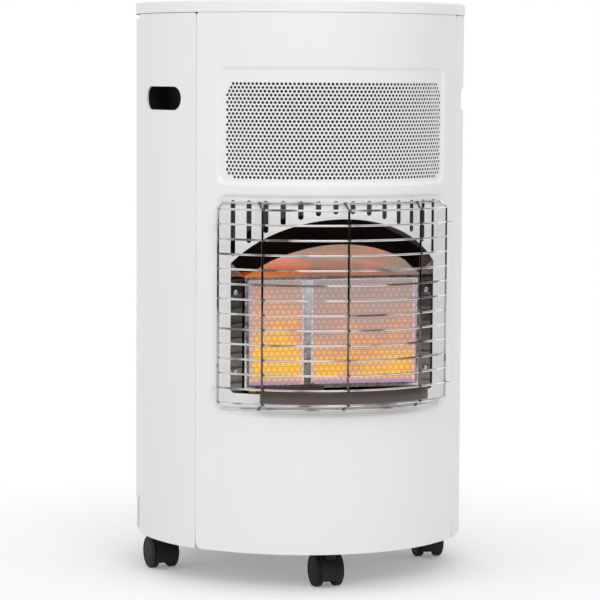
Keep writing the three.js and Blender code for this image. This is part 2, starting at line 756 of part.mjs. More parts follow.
function sideEdge(line) {
  const last = line.length - 1;
  const start = line[1].s;
  const end = line[last - 1].s;
  const foot = TRAY_RIM + FIT + SHEET;
  const flange = SIDE_TOP - FLANGE_INSET;
  return [
    ...arc(point(start + SEAM_CORNER, SHELL_BOTTOM + SEAM_CORNER), SEAM_CORNER, 270, 360, 2),
    point(end, SHELL_BOTTOM), point(end, foot), point(line[last].s, foot),
    point(line[last].s, flange), point(end, flange), point(end, SIDE_TOP),
    ...arc(point(start + SEAM_CORNER, SIDE_TOP - SEAM_CORNER), SEAM_CORNER, 180, 270, 2),
    point(start, flange), point(line[0].s, flange), point(line[0].s, foot), point(start, foot),
  ];
}

function addSidePanels() {
  const line = sidePlan();
  const slot = lyingSlot(point(SEAM_FLANGE + HAND_FROM_SEAM, HAND_Z), HAND_LENGTH, HAND_HEIGHT);
  const panel = sheetOnPlan(line, [region(sideEdge(line), [slot], 0)]);
  addPiece('right_side_panel', panel, WHITE_PAINT);
  addPiece('left_side_panel', mirrored(panel), WHITE_PAINT);
}

// A pocket behind the hand slot, cut to the inside of the side panel.
function addGripCups() {
  const line = sidePlan();
  const at = SEAM_FLANGE + HAND_FROM_SEAM;
  const mouth = onPlan(line, at, 0);
  const across = onPlan(line, at + 1, 0).sub(onPlan(line, at - 1, 0));
  const turn = Math.atan2(across.y, across.x);
  const wall = CUP_WALL + FIT;
  const pocket = (grow, near, far) => alongY(
    lyingSlot(point(0, HAND_Z), HAND_LENGTH + 2 * grow, HAND_HEIGHT + 2 * grow), near, far)
    .rotateZ(turn).translate(mouth.x, mouth.y, 0);
  const inside = line.slice(1, -1).map((station) => onPlan(line, station.s, SHEET + FIT));
  const behind = prism([...inside, point(0, REAR_SEAM_Y), point(0, SEAM.y)], 0, LID_TOP);
  const hollow = cut(pocket(wall, -wall, CUP_DEPTH), [pocket(FIT, -2 * wall, CUP_DEPTH - CUP_WALL)]);
  const cup = common(hollow, behind);
  addPiece('right_grip_cup', cup, BLACK_PLASTIC);
  addPiece('left_grip_cup', mirrored(cup), BLACK_PLASTIC);
}

function coverVents(line) {
  const middle = line[line.length - 1].s / 2;
  const slots = [];
  [COVER_VENT.low, COVER_VENT.high].forEach((z) => {
    for (let i = 0; i < COVER_VENT.count; i++) {
      const s = middle + (i - (COVER_VENT.count - 1) / 2) * COVER_VENT.pitch;
      slots.push(uprightSlot(s, z, z + COVER_VENT.length, COVER_VENT.width, 2));
    }
  });
  return slots;
}

function addRearCover() {
  const outline = rearOutline(0, COVER_FRONT_Y);
  const fold = point(COVER_HALF_WIDTH - COVER_FLANGE, COVER_FRONT_Y);
  const line = planLine([fold, ...outline, point(-fold.x, fold.y)]);
  const end = line[line.length - 1].s;
  const [start, stop] = [line[1].s, line[line.length - 2].s];
  const foot = APRON_TOP + COVER_FLANGE;
  const flange = COVER_TOP - FLANGE_INSET;
  const edge = [
    point(start + COVER_CHAMFER, COVER_BOTTOM), point(stop - COVER_CHAMFER, COVER_BOTTOM),
    point(stop, COVER_BOTTOM + COVER_CHAMFER), point(stop, foot), point(end, foot),
    point(end, flange), point(stop, flange), point(stop, COVER_TOP),
    point(start, COVER_TOP), point(start, flange), point(0, flange),
    point(0, foot), point(start, foot), point(start, COVER_BOTTOM + COVER_CHAMFER),
  ];
  addPiece('rear_cover', sheetOnPlan(line, [region(edge, coverVents(line), 0)]), WHITE_PAINT);
}

// Lid: a pan turned over, with a hem round its foot and a well for the controls.
const LID_BASE = SHELL_TOP + FIT;

function lidOutline(inset) {
  const front = frontOutline(inset - LID_OVERHANG).slice(1, -1);
  return [...front, ...rearOutline(inset - LID_OVERHANG, COVER_FRONT_Y)];
}

function wellOutline(grow) {
  const { halfLength, width, corner } = WELL;
  const reach = width / 2 + grow;
  return roundedRectangle(-halfLength - grow, halfLength + grow, CONTROL_Y - reach, CONTROL_Y + reach,
    corner + grow);
}

function addLid() {
  const top = prism(lidOutline(0), LID_TOP - SHEET, LID_TOP, [wellOutline(0)]);
  const rim = prism(lidOutline(0), LID_BASE, LID_TOP - SHEET / 2, [lidOutline(SHEET)]);
  const hem = prism(lidOutline(0), LID_BASE, LID_BASE + SHEET, [lidOutline(LID_HEM)]);
  const skirtY = REAR_SEAM_Y + SKIRT_FROM_SEAM;
  const skirt = cut(prism(lidOutline(0), COVER_TOP + FIT, LID_BASE + SHEET / 2, [lidOutline(SHEET)]),
    [block(-COVER_BACK, COVER_BACK, -COVER_BACK - 10, skirtY, 0, LID_TOP)]);
  addPiece('top_lid', joined([top, rim, hem, skirt]), WHITE_PAINT);
}

// The control panel hangs under the lid sheet and lines the well.
const PANEL_TOP = LID_TOP - SHEET - FIT;
const PANEL_FLOOR = LID_TOP - WELL.depth;
const PANEL_UNDER = PANEL_FLOOR - WELL.wall;

function addControlPanel() {
  const flange = prism(wellOutline(WELL.flange), PANEL_TOP - WELL.wall, PANEL_TOP, [wellOutline(-FIT)]);
  const walls = prism(wellOutline(WELL.wall), PANEL_UNDER, PANEL_TOP - WELL.wall / 2, [wellOutline(-FIT)]);
  const floor = prism(wellOutline(WELL.wall), PANEL_UNDER, PANEL_FLOOR, [
    circle(point(KNOB_X, CONTROL_Y), STEM_RADIUS + SHEET_FIT, 16),
    circle(point(BUTTON_X, CONTROL_Y), IGNITER_RADIUS + SHEET_FIT, 16),
  ]);
  addPiece('control_panel', joined([flange, walls, floor]), BLACK_PLASTIC);
}

const FLOOR_TOP = TRAY_FLOOR + TRAY_SHEET;

// Base tray: floor, rim inside the shells, apron inside the rear cover, castor bosses, bottle ring.
function trayOutline(inset) {
  const step = REAR_SEAM_Y + SHEET_FIT;
  return [...frontOutline(SHEET + FIT + inset), ...rearOutline(SHEET + SHEET_FIT + inset, step)];
}

function apronOutline(inset) {
  return rearOutline(SHEET + SHEET_FIT + inset, REAR_SEAM_Y + SHEET_FIT);
}

function addBaseTray() {
  const pins = Object.values(CASTOR_STEMS).map(([x, y]) => point(x, y));
  const inFloor = FLOOR_TOP - TRAY_SHEET / 2;
  const floor = prism(trayOutline(0), TRAY_FLOOR, FLOOR_TOP);
  const rim = prism(trayOutline(0), inFloor, TRAY_RIM, [trayOutline(TRAY_SHEET)]);
  const [outer, inner] = [apronOutline(0), apronOutline(TRAY_SHEET)];
  const apron = prism([...outer, ...inner.reverse()], TRAY_RIM - TRAY_SHEET, APRON_TOP);
  const bottle = point(0, BOTTLE_Y);
  const ringInner = BOTTLE_RADIUS + BOTTLE_PLAY;
  const ring = prism(circle(bottle, ringInner + BOTTLE_RING_WALL, RING_SIDES), inFloor,
    FLOOR_TOP + BOTTLE_RING_HEIGHT, [circle(bottle, ringInner, RING_SIDES)]);
  const bossRadius = PIN_RADIUS + CASTOR_BOSS_WALL;
  const bossTop = FLOOR_TOP + CASTOR_BOSS_HEIGHT;
  const bosses = pins.map((p) => rod(p.x, p.y, bossRadius, inFloor, bossTop, 12));
  const bores = pins.map((p) => rod(p.x, p.y, PIN_RADIUS + FIT, 0, LID_TOP, 12));
  addPiece('base_tray', cut(joined([floor, rim, apron, ring, ...bosses]), bores), GALVANISED);
}

// ---- Fire chamber -------------------------------------------------------------------------------
// Half width inside the side panels at a distance back.
function insideHalfWidth(y) {
  const line = sidePlan().slice(1, -1).map((station) => ({ ...station }));
  const points = line.map((station) => station.point.clone().addScaledVector(station.mitre, SHEET + FIT));
  const i = Math.max(points.findIndex((p) => p.y > y), 1);
  const [from, to] = [points[i - 1], points[i]];
  return from.x + ((to.x - from.x) * (y - from.y)) / (to.y - from.y);
}

const SHIELD_BACK = SHIELD_Y + SHEET;

function addHeatShield() {
  const half = Math.min(insideHalfWidth(SHIELD_Y), insideHalfWidth(SHIELD_BACK));
  const rimFree = half - 2 * TRAY_SHEET;
  const outline = [
    point(-rimFree, FLOOR_TOP + FIT), point(rimFree, FLOOR_TOP + FIT), point(rimFree, TRAY_RIM + FIT),
    point(half, TRAY_RIM + FIT), point(half, SHIELD_TOP), point(-half, SHIELD_TOP),
    point(-half, TRAY_RIM + FIT), point(-rimFree, TRAY_RIM + FIT),
  ];
  const holes = [
    circle(point(SUPPLY_INLET.x, SUPPLY_INLET.z), SUPPLY_RADIUS + SHEET_FIT, 12),
    circle(point(PILOT_PIPE_X, PILOT_PIPE_Z), PILOT_PIPE_RADIUS + SHEET_FIT, 12),
  ];
  addPiece('heat_shield', alongY(outline, SHIELD_Y, SHIELD_BACK, holes), DARK_STEEL);
}

// Burner: a stepped steel housing with the plaques in its mouth.
const BURNER_HALF = (FIRST_PLAQUE_WIDTH + DIVIDER_WIDTH + 2 * PLAQUE_WIDTH + 5 * FIT) / 2;
const FIRST_LEFT = -BURNER_HALF + FIT;
const RIB_LEFT = FIRST_LEFT + FIRST_PLAQUE_WIDTH + FIT;
const RIB_RIGHT = RIB_LEFT + DIVIDER_WIDTH;
const SECOND_LEFT = RIB_RIGHT + FIT;
const THIRD_LEFT = SECOND_LEFT + PLAQUE_WIDTH + FIT;
const PLAQUE_BACK = BURNER_FACE_Y + PLAQUE_THICKNESS;
const BURNER_TOP = BURNER_BOTTOM + PLAQUE_HEIGHT;
const FRAME_HALF = BURNER_HALF + HOUSING_WALL + FRAME_BORDER - 1;
const FRAME_BOTTOM = BURNER_BOTTOM - FRAME_BORDER;
const FRAME_TOP = BURNER_TOP + FRAME_BORDER;
const CHAMBER_FLOOR = FIRE_BOTTOM - TRAY_DROP - REFLECTOR_SHEET;
const CHAMBER_TOP = FRAME_TOP + FIT;
const PILOT_PIPE_Z = (CHAMBER_FLOOR + REFLECTOR_SHEET + FRAME_BOTTOM) / 2;

function addBurnerHousing() {
  const wall = HOUSING_WALL;
  const ledge = PLAQUE_BACK + FIT;
  const back = SHIELD_Y - FIT;
  const [bottom, top] = [BURNER_BOTTOM - FIT, BURNER_TOP + FIT];
  const outer = BURNER_HALF + wall;
  const inner = BURNER_HALF - HOUSING_LEDGE;
  const step = HOUSING_LEDGE;
  const mouth = block(-outer, outer, BURNER_FACE_Y, ledge + wall, bottom - wall, top + wall);
  const body = block(-inner - wall, inner + wall, ledge, back, bottom + step - wall, top - step + wall);
  const inlet = circle(point(SUPPLY_INLET.x, SUPPLY_INLET.z), SUPPLY_RADIUS + SHEET_FIT, 12);
  const pockets = [
    block(-BURNER_HALF, RIB_LEFT, BURNER_FACE_Y - wall, ledge, bottom, top),
    block(RIB_RIGHT, BURNER_HALF, BURNER_FACE_Y - wall, ledge, bottom, top),
    block(-inner, inner, ledge - FIT, back - wall, bottom + step, top - step),
    alongY(inlet, back - 2 * wall, back + wall),
  ];
  const rib = block(RIB_LEFT, RIB_RIGHT, BURNER_FACE_Y, ledge + wall, bottom - wall / 2, top + wall / 2);
  addPiece('burner_housing', joined([cut(joined([mouth, body]), pockets), rib]), GALVANISED);
}

function addPlaques() {
  const places = [
    [FIRST_LEFT, FIRST_PLAQUE_WIDTH],
    [SECOND_LEFT, PLAQUE_WIDTH],
    [THIRD_LEFT, PLAQUE_WIDTH],
  ];
  places.forEach(([left, width], i) => {
    const plaque = block(left, left + width, BURNER_FACE_Y, PLAQUE_BACK, BURNER_BOTTOM, BURNER_TOP);
    addPiece(`ceramic_plaque_${i + 1}`, plaque, CERAMIC);
  });
}

function addBurnerFrame() {
  const back = BURNER_FACE_Y - FIT;
  const front = back - FRAME_THICKNESS;
  const [bottom, top] = [BURNER_BOTTOM + FRAME_LAP, BURNER_TOP - FRAME_LAP];
  const plate = block(-FRAME_HALF, FRAME_HALF, front, back, FRAME_BOTTOM, FRAME_TOP);
  const windows = [
    [FIRST_LEFT + FRAME_LAP, RIB_LEFT - FIT - FRAME_LAP],
    [SECOND_LEFT + FRAME_LAP, BURNER_HALF - FIT - FRAME_LAP],
  ].map(([left, right]) => block(left, right, front - 1, back + 1, bottom, top));
  addPiece('burner_frame', cut(plate, windows), BRIGHT_STEEL);
}

// Hood: a level roof over the burner, then a slope up to a round front edge with its two corners
// folded down. Its flat drawing uses s for x and z for y.
function addReflectorHood() {
  const back = SHIELD_Y - FIT;
  const kneeY = BURNER_FACE_Y - FRAME_THICKNESS - 2 * FIT;
  const front = (turn) => atHeading(FRONT_CENTRE, HOOD_REACH, turn);
  const kneeX = FRAME_HALF;
  const slope = (HOOD_TOP - CHAMBER_TOP) / (kneeY - front(0).y);
  const rise = (y) => CHAMBER_TOP + slope * (kneeY - y);
  const height = (p) => (p.y < kneeY ? rise(p.y) : CHAMBER_TOP);
  const corner = (p, drop = 0) => ({ s: p.x, z: p.y, depth: height(p) - drop });
  const edgeTurn = Math.acos((FRONT_CENTRE.y - kneeY) / HOOD_REACH) * THREE.MathUtils.RAD2DEG;
  const crease = HOOD_CREASE_HEADING;
  const middle = arc(FRONT_CENTRE, HOOD_REACH, -crease, crease, HOOD_STEPS).map((p) => corner(p));
  const fold = (side) => {
    const points = [];
    for (let i = 0; i <= HOOD_FOLD_STEPS; i++) {
      const along = i / HOOD_FOLD_STEPS;
      const p = front(side * (crease + (edgeTurn - crease) * along));
      points.push(corner(p, HOOD_CORNER_DROP * along * (1 - along)));
    }
    return points;
  };
  const [left, right] = [fold(-1), fold(1)];
  const knee = (side) => corner(point(side * kneeX, kneeY));
  const rear = (side) => corner(point(side * kneeX, back));
  const half = HOOD_STEPS / 2;
  const faces = [
    [knee(-1), knee(1), rear(1)], [knee(-1), rear(1), rear(-1)], [knee(-1), middle[half], knee(1)],
  ];
  middle.slice(1).forEach((p, i) => faces.push([knee(i < half ? -1 : 1), middle[i], p]));
  left.slice(1).forEach((p, i) => faces.push([knee(-1), p, left[i]]));
  right.slice(1).forEach((p, i) => faces.push([knee(1), right[i], p]));
  const place = (lift) => (p) => spot(p.s, p.z, p.depth + lift);
  addPiece('reflector_hood', thickened(faces, place(REFLECTOR_SHEET), place(0)), POLISHED);
}

// Each side reflector is an angle: a face beside the burner and a wall back to the heat shield.
const CHAMBER_FLOOR_TOP = CHAMBER_FLOOR + REFLECTOR_SHEET;

function addSideReflectors() {
  const sheet = REFLECTOR_SHEET;
  const bottom = CHAMBER_FLOOR_TOP + FIT;
  const inner = FRAME_HALF + FIT;
  const face = block(inner, REFLECTOR_HALF_WIDTH, REFLECTOR_FACE_Y, REFLECTOR_FACE_Y + sheet,
    bottom, CHAMBER_TOP);
  const wall = block(REFLECTOR_HALF_WIDTH - sheet, REFLECTOR_HALF_WIDTH, REFLECTOR_FACE_Y, SHIELD_Y - FIT,
    bottom, CHAMBER_TOP);
  const holes = SCREW_HEIGHTS.map((z) => alongY(circle(point(SCREW_X, z), SCREW_SHANK_RADIUS + FIT, 12),
    REFLECTOR_FACE_Y - sheet, REFLECTOR_FACE_Y + 2 * sheet));
  const piece = cut(joined([face, wall]), holes);
  addPiece('right_side_reflector', piece, POLISHED);
  addPiece('left_side_reflector', mirrored(piece), POLISHED);
}

function addReflectorScrews() {
  const head = REFLECTOR_FACE_Y - FIT;
  const profile = [
    [0, 0], [SCREW_SHANK_RADIUS, 0], [SCREW_SHANK_RADIUS, SCREW_SHANK], [SCREW_HEAD_RADIUS, SCREW_SHANK],
    [SCREW_HEAD_RADIUS, SCREW_SHANK + SCREW_HEAD / 2], [SCREW_HEAD_RADIUS / 2, SCREW_SHANK + SCREW_HEAD],
    [0, SCREW_SHANK + SCREW_HEAD],
  ];
  [['left', -1], ['right', 1]].forEach(([name, side]) => {
    SCREW_HEIGHTS.forEach((z, i) => {
      const screw = turned(profile, 8).rotateX(Math.PI / 2).translate(side * SCREW_X, head + SCREW_SHANK, z);
      addPiece(`${name}_reflector_screw_${i + 1}`, screw, BRIGHT_STEEL);
    });
  });
}

// Gusset that closes the corner between hood, side reflector and shell.
function addCornerReflectors() {
  const sheet = REFLECTOR_SHEET;
  const bottom = CHAMBER_TOP + FIT;
  const inner = FRAME_HALF + FIT;
  const wall = block(REFLECTOR_HALF_WIDTH - sheet, REFLECTOR_HALF_WIDTH, REFLECTOR_FACE_Y, SHIELD_Y - FIT,
    bottom, bottom + CORNER_HEIGHT);
  const roof = block(inner, REFLECTOR_HALF_WIDTH, REFLECTOR_FACE_Y, SHIELD_Y - FIT, bottom, bottom + sheet);
  const lip = [point(inner, bottom), point(REFLECTOR_HALF_WIDTH, bottom),
    point(REFLECTOR_HALF_WIDTH, bottom + CORNER_HEIGHT)];
  const front = alongY(lip, REFLECTOR_FACE_Y, REFLECTOR_FACE_Y + sheet);
  const piece = joined([wall, roof, front]);
  addPiece('right_corner_reflector', piece, POLISHED);
  addPiece('left_corner_reflector', mirrored(piece), POLISHED);
}

function addReflectorTray() {
  const reach = FRONT_RADIUS - RECESS_DEPTH - SHEET - SHELL_CLEARANCE;
  const turn = Math.asin(REFLECTOR_HALF_WIDTH / reach) * THREE.MathUtils.RAD2DEG;
  const back = SHIELD_Y - FIT;
  const front = arc(FRONT_CENTRE, reach, -turn, turn, FRONT_STEPS);
  const outline = [...front, point(REFLECTOR_HALF_WIDTH, back), point(-REFLECTOR_HALF_WIDTH, back)];
  addPiece('reflector_tray', prism(outline, CHAMBER_FLOOR, CHAMBER_FLOOR_TOP), POLISHED);
}

// ---- Wire guard ---------------------------------------------------------------------------------
const GUARD_CENTRE = point(0, GUARD_AXIS_Y);
const GUARD_RADIUS = GUARD_AXIS_Y - GUARD_FRONT - GUARD_WIRE;
const GUARD_BOTTOM = GUARD_TOP - (GUARD_ROWS - 1) * GUARD_PITCH;
const guardY = (x, radius = GUARD_RADIUS) => GUARD_AXIS_Y - Math.sqrt(radius ** 2 - x ** 2);
const wallRadius = FRONT_RADIUS - RECESS_DEPTH + GUARD_WIRE + SHEET_FIT;
const wallY = (x) => FRONT_CENTRE.y - Math.sqrt(wallRadius ** 2 - x ** 2);

function guardRow(z) {
  const turn = Math.asin(GUARD_HALF_WIDTH / GUARD_RADIUS) * THREE.MathUtils.RAD2DEG;
  const row = arc(GUARD_CENTRE, GUARD_RADIUS, -turn, turn, GUARD_STEPS).map((p) => spot(p.x, p.y, z));
  return wire(row, GUARD_WIRE, GUARD_SIDES);
}

// A wire that lies along the recessed panel, at the top or the bottom of the guard.
function guardWallWire(z) {
  const end = guardWallEnd();
  const round = arc(FRONT_CENTRE, wallRadius, -FRONT_HEADING, FRONT_HEADING, FRONT_STEPS);
  const points = [point(-end.x, end.y), ...round, end];
  return wire(points.map((p) => spot(p.x, p.y, z)), GUARD_WIRE, GUARD_SIDES);
}

function guardWallEnd() {
  const start = atHeading(FRONT_CENTRE, wallRadius, FRONT_HEADING);
  return start.addScaledVector(heading(FRONT_HEADING), GUARD_WALL_TAIL);
}

// An upright runs down behind the rows and bends back to the wall wires at both ends.
function guardUpright(x) {
  const y = guardY(x, GUARD_RADIUS - 2 * GUARD_WIRE + GUARD_WELD);
  const wall = wallY(x);
  return wire([
    spot(x, wall, GUARD_WALL_TOP), spot(x, y + GUARD_WIRE, GUARD_TOP + GUARD_WIRE),
    spot(x, y, GUARD_TOP - GUARD_WIRE), spot(x, y, GUARD_BOTTOM + GUARD_WIRE),
    spot(x, y + GUARD_WIRE, GUARD_BOTTOM - GUARD_WIRE), spot(x, wall, GUARD_WALL_BOTTOM),
  ], GUARD_WIRE, GUARD_SIDES);
}

function guardCorner(side) {
  const end = guardWallEnd();
  const x = side * GUARD_HALF_WIDTH;
  const y = guardY(GUARD_HALF_WIDTH);
  return wire([
    spot(side * end.x, end.y, GUARD_WALL_TOP), spot(x, y, GUARD_TOP), spot(x, y, GUARD_BOTTOM),
    spot(side * end.x, end.y, GUARD_WALL_BOTTOM),
  ], GUARD_WIRE, GUARD_SIDES);
}

function guardLug(side, row) {
  const x = side * GUARD_HALF_WIDTH;
  const y = guardY(GUARD_HALF_WIDTH);
  const z = GUARD_TOP - row * GUARD_PITCH;
  return wire([spot(x, y, z), spot(x + side * GUARD_LUG, y, z)], GUARD_WIRE, GUARD_SIDES);
}

function addWireGuard() {
  const rows = Array.from({ length: GUARD_ROWS }, (_, i) => guardRow(GUARD_TOP - i * GUARD_PITCH));
  const uprights = [-GUARD_UPRIGHT_X, 0, GUARD_UPRIGHT_X].map(guardUpright);
  const sides = [-1, 1];
  const lugs = sides.flatMap((side) => GUARD_LUG_ROWS.map((row) => guardLug(side, row)));
  const wires = [guardWallWire(GUARD_WALL_TOP), guardWallWire(GUARD_WALL_BOTTOM), ...uprights,
    ...sides.map(guardCorner), ...rows, ...lugs];
  addPiece('wire_guard', joined(wires), CHROME);
}

// A round strip that stands in the guard between its two lowest rows.
function addDeflectorBar() {
  const turn = (x) => Math.asin(x / GUARD_RADIUS) * THREE.MathUtils.RAD2DEG;
  const strip = (radius) => arc(GUARD_CENTRE, radius, turn(BAR_LEFT), turn(BAR_RIGHT), BAR_STEPS);
  const back = GUARD_RADIUS - GUARD_WIRE + GUARD_WELD + FIT;
  const outline = [...strip(back + BAR_SHEET), ...strip(back).reverse()];
  const bottom = GUARD_BOTTOM + GUARD_WIRE + FIT;
  const top = bottom + GUARD_PITCH - 2 * (GUARD_WIRE + FIT);
  addPiece('deflector_bar', prism(outline, bottom, top), DARK_STEEL);
}

// ---- Pilot --------------------------------------------------------------------------------------
const PILOT_FRONT = BURNER_FACE_Y - FRAME_THICKNESS - FIT - 2 * PILOT_RADIUS - 2 * PILOT_STRIP.sheet;
const PILOT_BASE = CHAMBER_FLOOR_TOP + FIT;
const PILOT_Y = PILOT_FRONT + PILOT_STRIP.sheet + PILOT_RADIUS + FIT;
const STRIP_TOP = BURNER_BOTTOM - FIT;

function addPilotBurner() {
  const { left, right, sheet } = PILOT_STRIP;
  const back = PILOT_Y + PILOT_RADIUS + FIT;
  const strip = block(left, right, PILOT_FRONT, PILOT_FRONT + sheet, PILOT_BASE, STRIP_TOP);
  const foot = block(left, right, PILOT_FRONT, back, PILOT_BASE, PILOT_BASE + sheet);
  const head = rod(PILOT_X, PILOT_Y, PILOT_RADIUS, PILOT_BASE + sheet / 2, PILOT_BASE + PILOT_RISE, 12);
  addPiece('pilot_burner', joined([strip, foot, head]), BRIGHT_STEEL);
}

function addPilotProbes() {
  const seat = PILOT_BASE + PILOT_STRIP.sheet + FIT;
  const probeX = PILOT_X + PILOT_RADIUS + 3 * PROBE_RADIUS;
  addPiece('thermocouple', rod(probeX, PILOT_Y, PROBE_RADIUS, seat, seat + PILOT_RISE, 10), BRIGHT_STEEL);
  const end = PILOT_X - PILOT_RADIUS - NEEDLE_GAP;
  const foot = -ELECTRODE_LENGTH - NEEDLE_LENGTH;
  const profile = [
    [0, foot], [ELECTRODE_RADIUS, foot], [ELECTRODE_RADIUS, -NEEDLE_LENGTH],
    [NEEDLE_RADIUS, -NEEDLE_LENGTH], [NEEDLE_RADIUS, 0], [0, 0],
  ];
  const electrode = turned(profile, 8).rotateY(QUARTER)
    .translate(end, PILOT_Y, seat + ELECTRODE_RADIUS);
  addPiece('spark_electrode', electrode, PORCELAIN);
}

// ---- Controls -----------------------------------------------------------------------------------
const VALVE_TOP = PANEL_UNDER - FIT;
const VALVE_BOTTOM = VALVE_TOP - VALVE.height;
const SUPPLY_Z = VALVE_BOTTOM + VALVE.height / 2 + PIPE_SPACING / 2;
const PILOT_PIPE_OUT_Z = SUPPLY_Z - PIPE_SPACING;
const VALVE_LEFT = KNOB_X - VALVE.width / 2;

function addGasValve() {
  const { width, depth } = VALVE;
  const body = block(VALVE_LEFT, VALVE_LEFT + width, CONTROL_Y - depth / 2, CONTROL_Y + depth / 2,
    VALVE_BOTTOM, VALVE_TOP);
  const bore = rod(KNOB_X, CONTROL_Y, STEM_RADIUS + FIT, VALVE_TOP - STEM_SOCKET, VALVE_TOP + FIT);
  const ports = [
    [SUPPLY_Z, SUPPLY_RADIUS],
    [PILOT_PIPE_OUT_Z, PILOT_PIPE_RADIUS],
  ].map(([z, radius]) => alongX(circle(point(CONTROL_Y, z), radius + FIT, 12), VALVE_LEFT - FIT,
    VALVE_LEFT + PORT_DEPTH));
  const neck = NOZZLE_RADIUS - NOZZLE_BARB;
  const sixth = NOZZLE_LENGTH / 6;
  const nozzle = turned([
    [0, 0], [neck, 0], [NOZZLE_RADIUS, sixth], [neck, sixth], [NOZZLE_RADIUS, 2 * sixth], [neck, 2 * sixth],
    [neck, 4 * sixth], [NOZZLE_COLLAR, 4 * sixth], [NOZZLE_COLLAR, 7 * sixth], [0, 7 * sixth],
  ], 12).translate(KNOB_X + width / 4, CONTROL_Y, VALVE_BOTTOM - NOZZLE_LENGTH);
  addPiece('gas_valve', cut(joined([body, nozzle]), [bore, ...ports]), BRASS);
}

// The stem stands in the valve and carries the knob; both push down together.
const KNOB_BOTTOM = PANEL_FLOOR + KNOB_LIFT;
const KNOB_TOP = KNOB_BOTTOM + KNOB_HEIGHT;

function addKnobAndStem() {
  const stemBottom = VALVE_TOP - STEM_SOCKET + KNOB_LIFT;
  const stemTop = KNOB_BOTTOM + KNOB_BORE - FIT;
  addPiece('valve_stem', rod(KNOB_X, CONTROL_Y, STEM_RADIUS, stemBottom, stemTop), BRASS);
  const waist = KNOB_RADIUS - KNOB_SHOULDER;
  const skirtTop = KNOB_BOTTOM + KNOB_SKIRT;
  const face = KNOB_TOP - KNOB_GRIP;
  const body = turned([
    [0, KNOB_BOTTOM], [KNOB_RADIUS, KNOB_BOTTOM], [KNOB_RADIUS, skirtTop],
    [waist, skirtTop], [waist - KNOB_TAPER, face], [0, face],
  ], 32).translate(KNOB_X, CONTROL_Y, 0);
  const halfGrip = KNOB_GRIP / 2;
  const reach = waist - 2 * KNOB_TAPER;
  const grip = block(KNOB_X - halfGrip, KNOB_X + halfGrip, CONTROL_Y - reach, CONTROL_Y + reach,
    face - KNOB_TAPER, KNOB_TOP);
  const bore = rod(KNOB_X, CONTROL_Y, STEM_RADIUS + FIT, KNOB_BOTTOM - KNOB_TAPER, KNOB_BOTTOM + KNOB_BORE);
  addPiece('control_knob', cut(joined([body, grip]), [bore]), BLACK_PLASTIC);
}

function addIgniter() {
  const lipBottom = PANEL_FLOOR + FIT;
  const lipTop = lipBottom + IGNITER_LIP;
  const bodyRadius = IGNITER_RADIUS;
  const lipRadius = IGNITER_RADIUS + IGNITER_FLANGE;
  const bore = BUTTON_RADIUS + FIT;
  const socket = lipTop - BUTTON_DEPTH - BUTTON_TRAVEL - FIT;
  const body = turned([
    [0, lipTop - IGNITER_LENGTH], [bodyRadius, lipTop - IGNITER_LENGTH], [bodyRadius, lipBottom],
    [lipRadius, lipBottom], [lipRadius, lipTop], [bore, lipTop], [bore, socket], [0, socket],
  ], 20).translate(BUTTON_X, CONTROL_Y, 0);
  addPiece('piezo_igniter', body, BLACK_PLASTIC);
  const [low, high] = [lipTop - BUTTON_DEPTH, lipTop + BUTTON_RISE];
  const button = turned([
    [0, low], [BUTTON_RADIUS, low], [BUTTON_RADIUS, high - BUTTON_EDGE],
    [BUTTON_RADIUS - BUTTON_EDGE, high], [0, high],
  ], 20).translate(BUTTON_X, CONTROL_Y, 0);
  addPiece('ignition_button', button, RED_PLASTIC);
}

// Rigid gas pipes: out of the valve, forward along the left side, down behind the heat shield.
function addPipes() {
  const behind = SHIELD_BACK + PIPE_OFFSET;
  const start = VALVE_LEFT + PORT_DEPTH - FIT;
  const supply = bentRoute([
    spot(start, CONTROL_Y, SUPPLY_Z), spot(PIPE_DOWN_X, CONTROL_Y, SUPPLY_Z),
    spot(PIPE_DOWN_X, behind, SUPPLY_Z), spot(PIPE_DOWN_X, behind, SUPPLY_INLET.z),
    spot(SUPPLY_INLET.x, behind, SUPPLY_INLET.z),
    spot(SUPPLY_INLET.x, SHIELD_Y - FIT - HOUSING_WALL, SUPPLY_INLET.z),
  ], PIPE_BEND / 2, 3);
  addPiece('supply_pipe', wire(supply, SUPPLY_RADIUS, 7), BRASS);
  const x = PIPE_DOWN_X - PIPE_SPACING;
  const pilot = bentRoute([
    spot(start, CONTROL_Y, PILOT_PIPE_OUT_Z), spot(x, CONTROL_Y, PILOT_PIPE_OUT_Z),
    spot(x, behind, PILOT_PIPE_OUT_Z), spot(x, behind, PILOT_PIPE_Z),
    spot(PILOT_PIPE_X, behind, PILOT_PIPE_Z), spot(PILOT_PIPE_X, PILOT_Y, PILOT_PIPE_Z),
    spot(PILOT_STRIP.left - FIT, PILOT_Y, PILOT_PIPE_Z),
  ], PIPE_BEND / 2, 3);
  addPiece('pilot_pipe', wire(pilot, PILOT_PIPE_RADIUS, 6), BRASS);
}

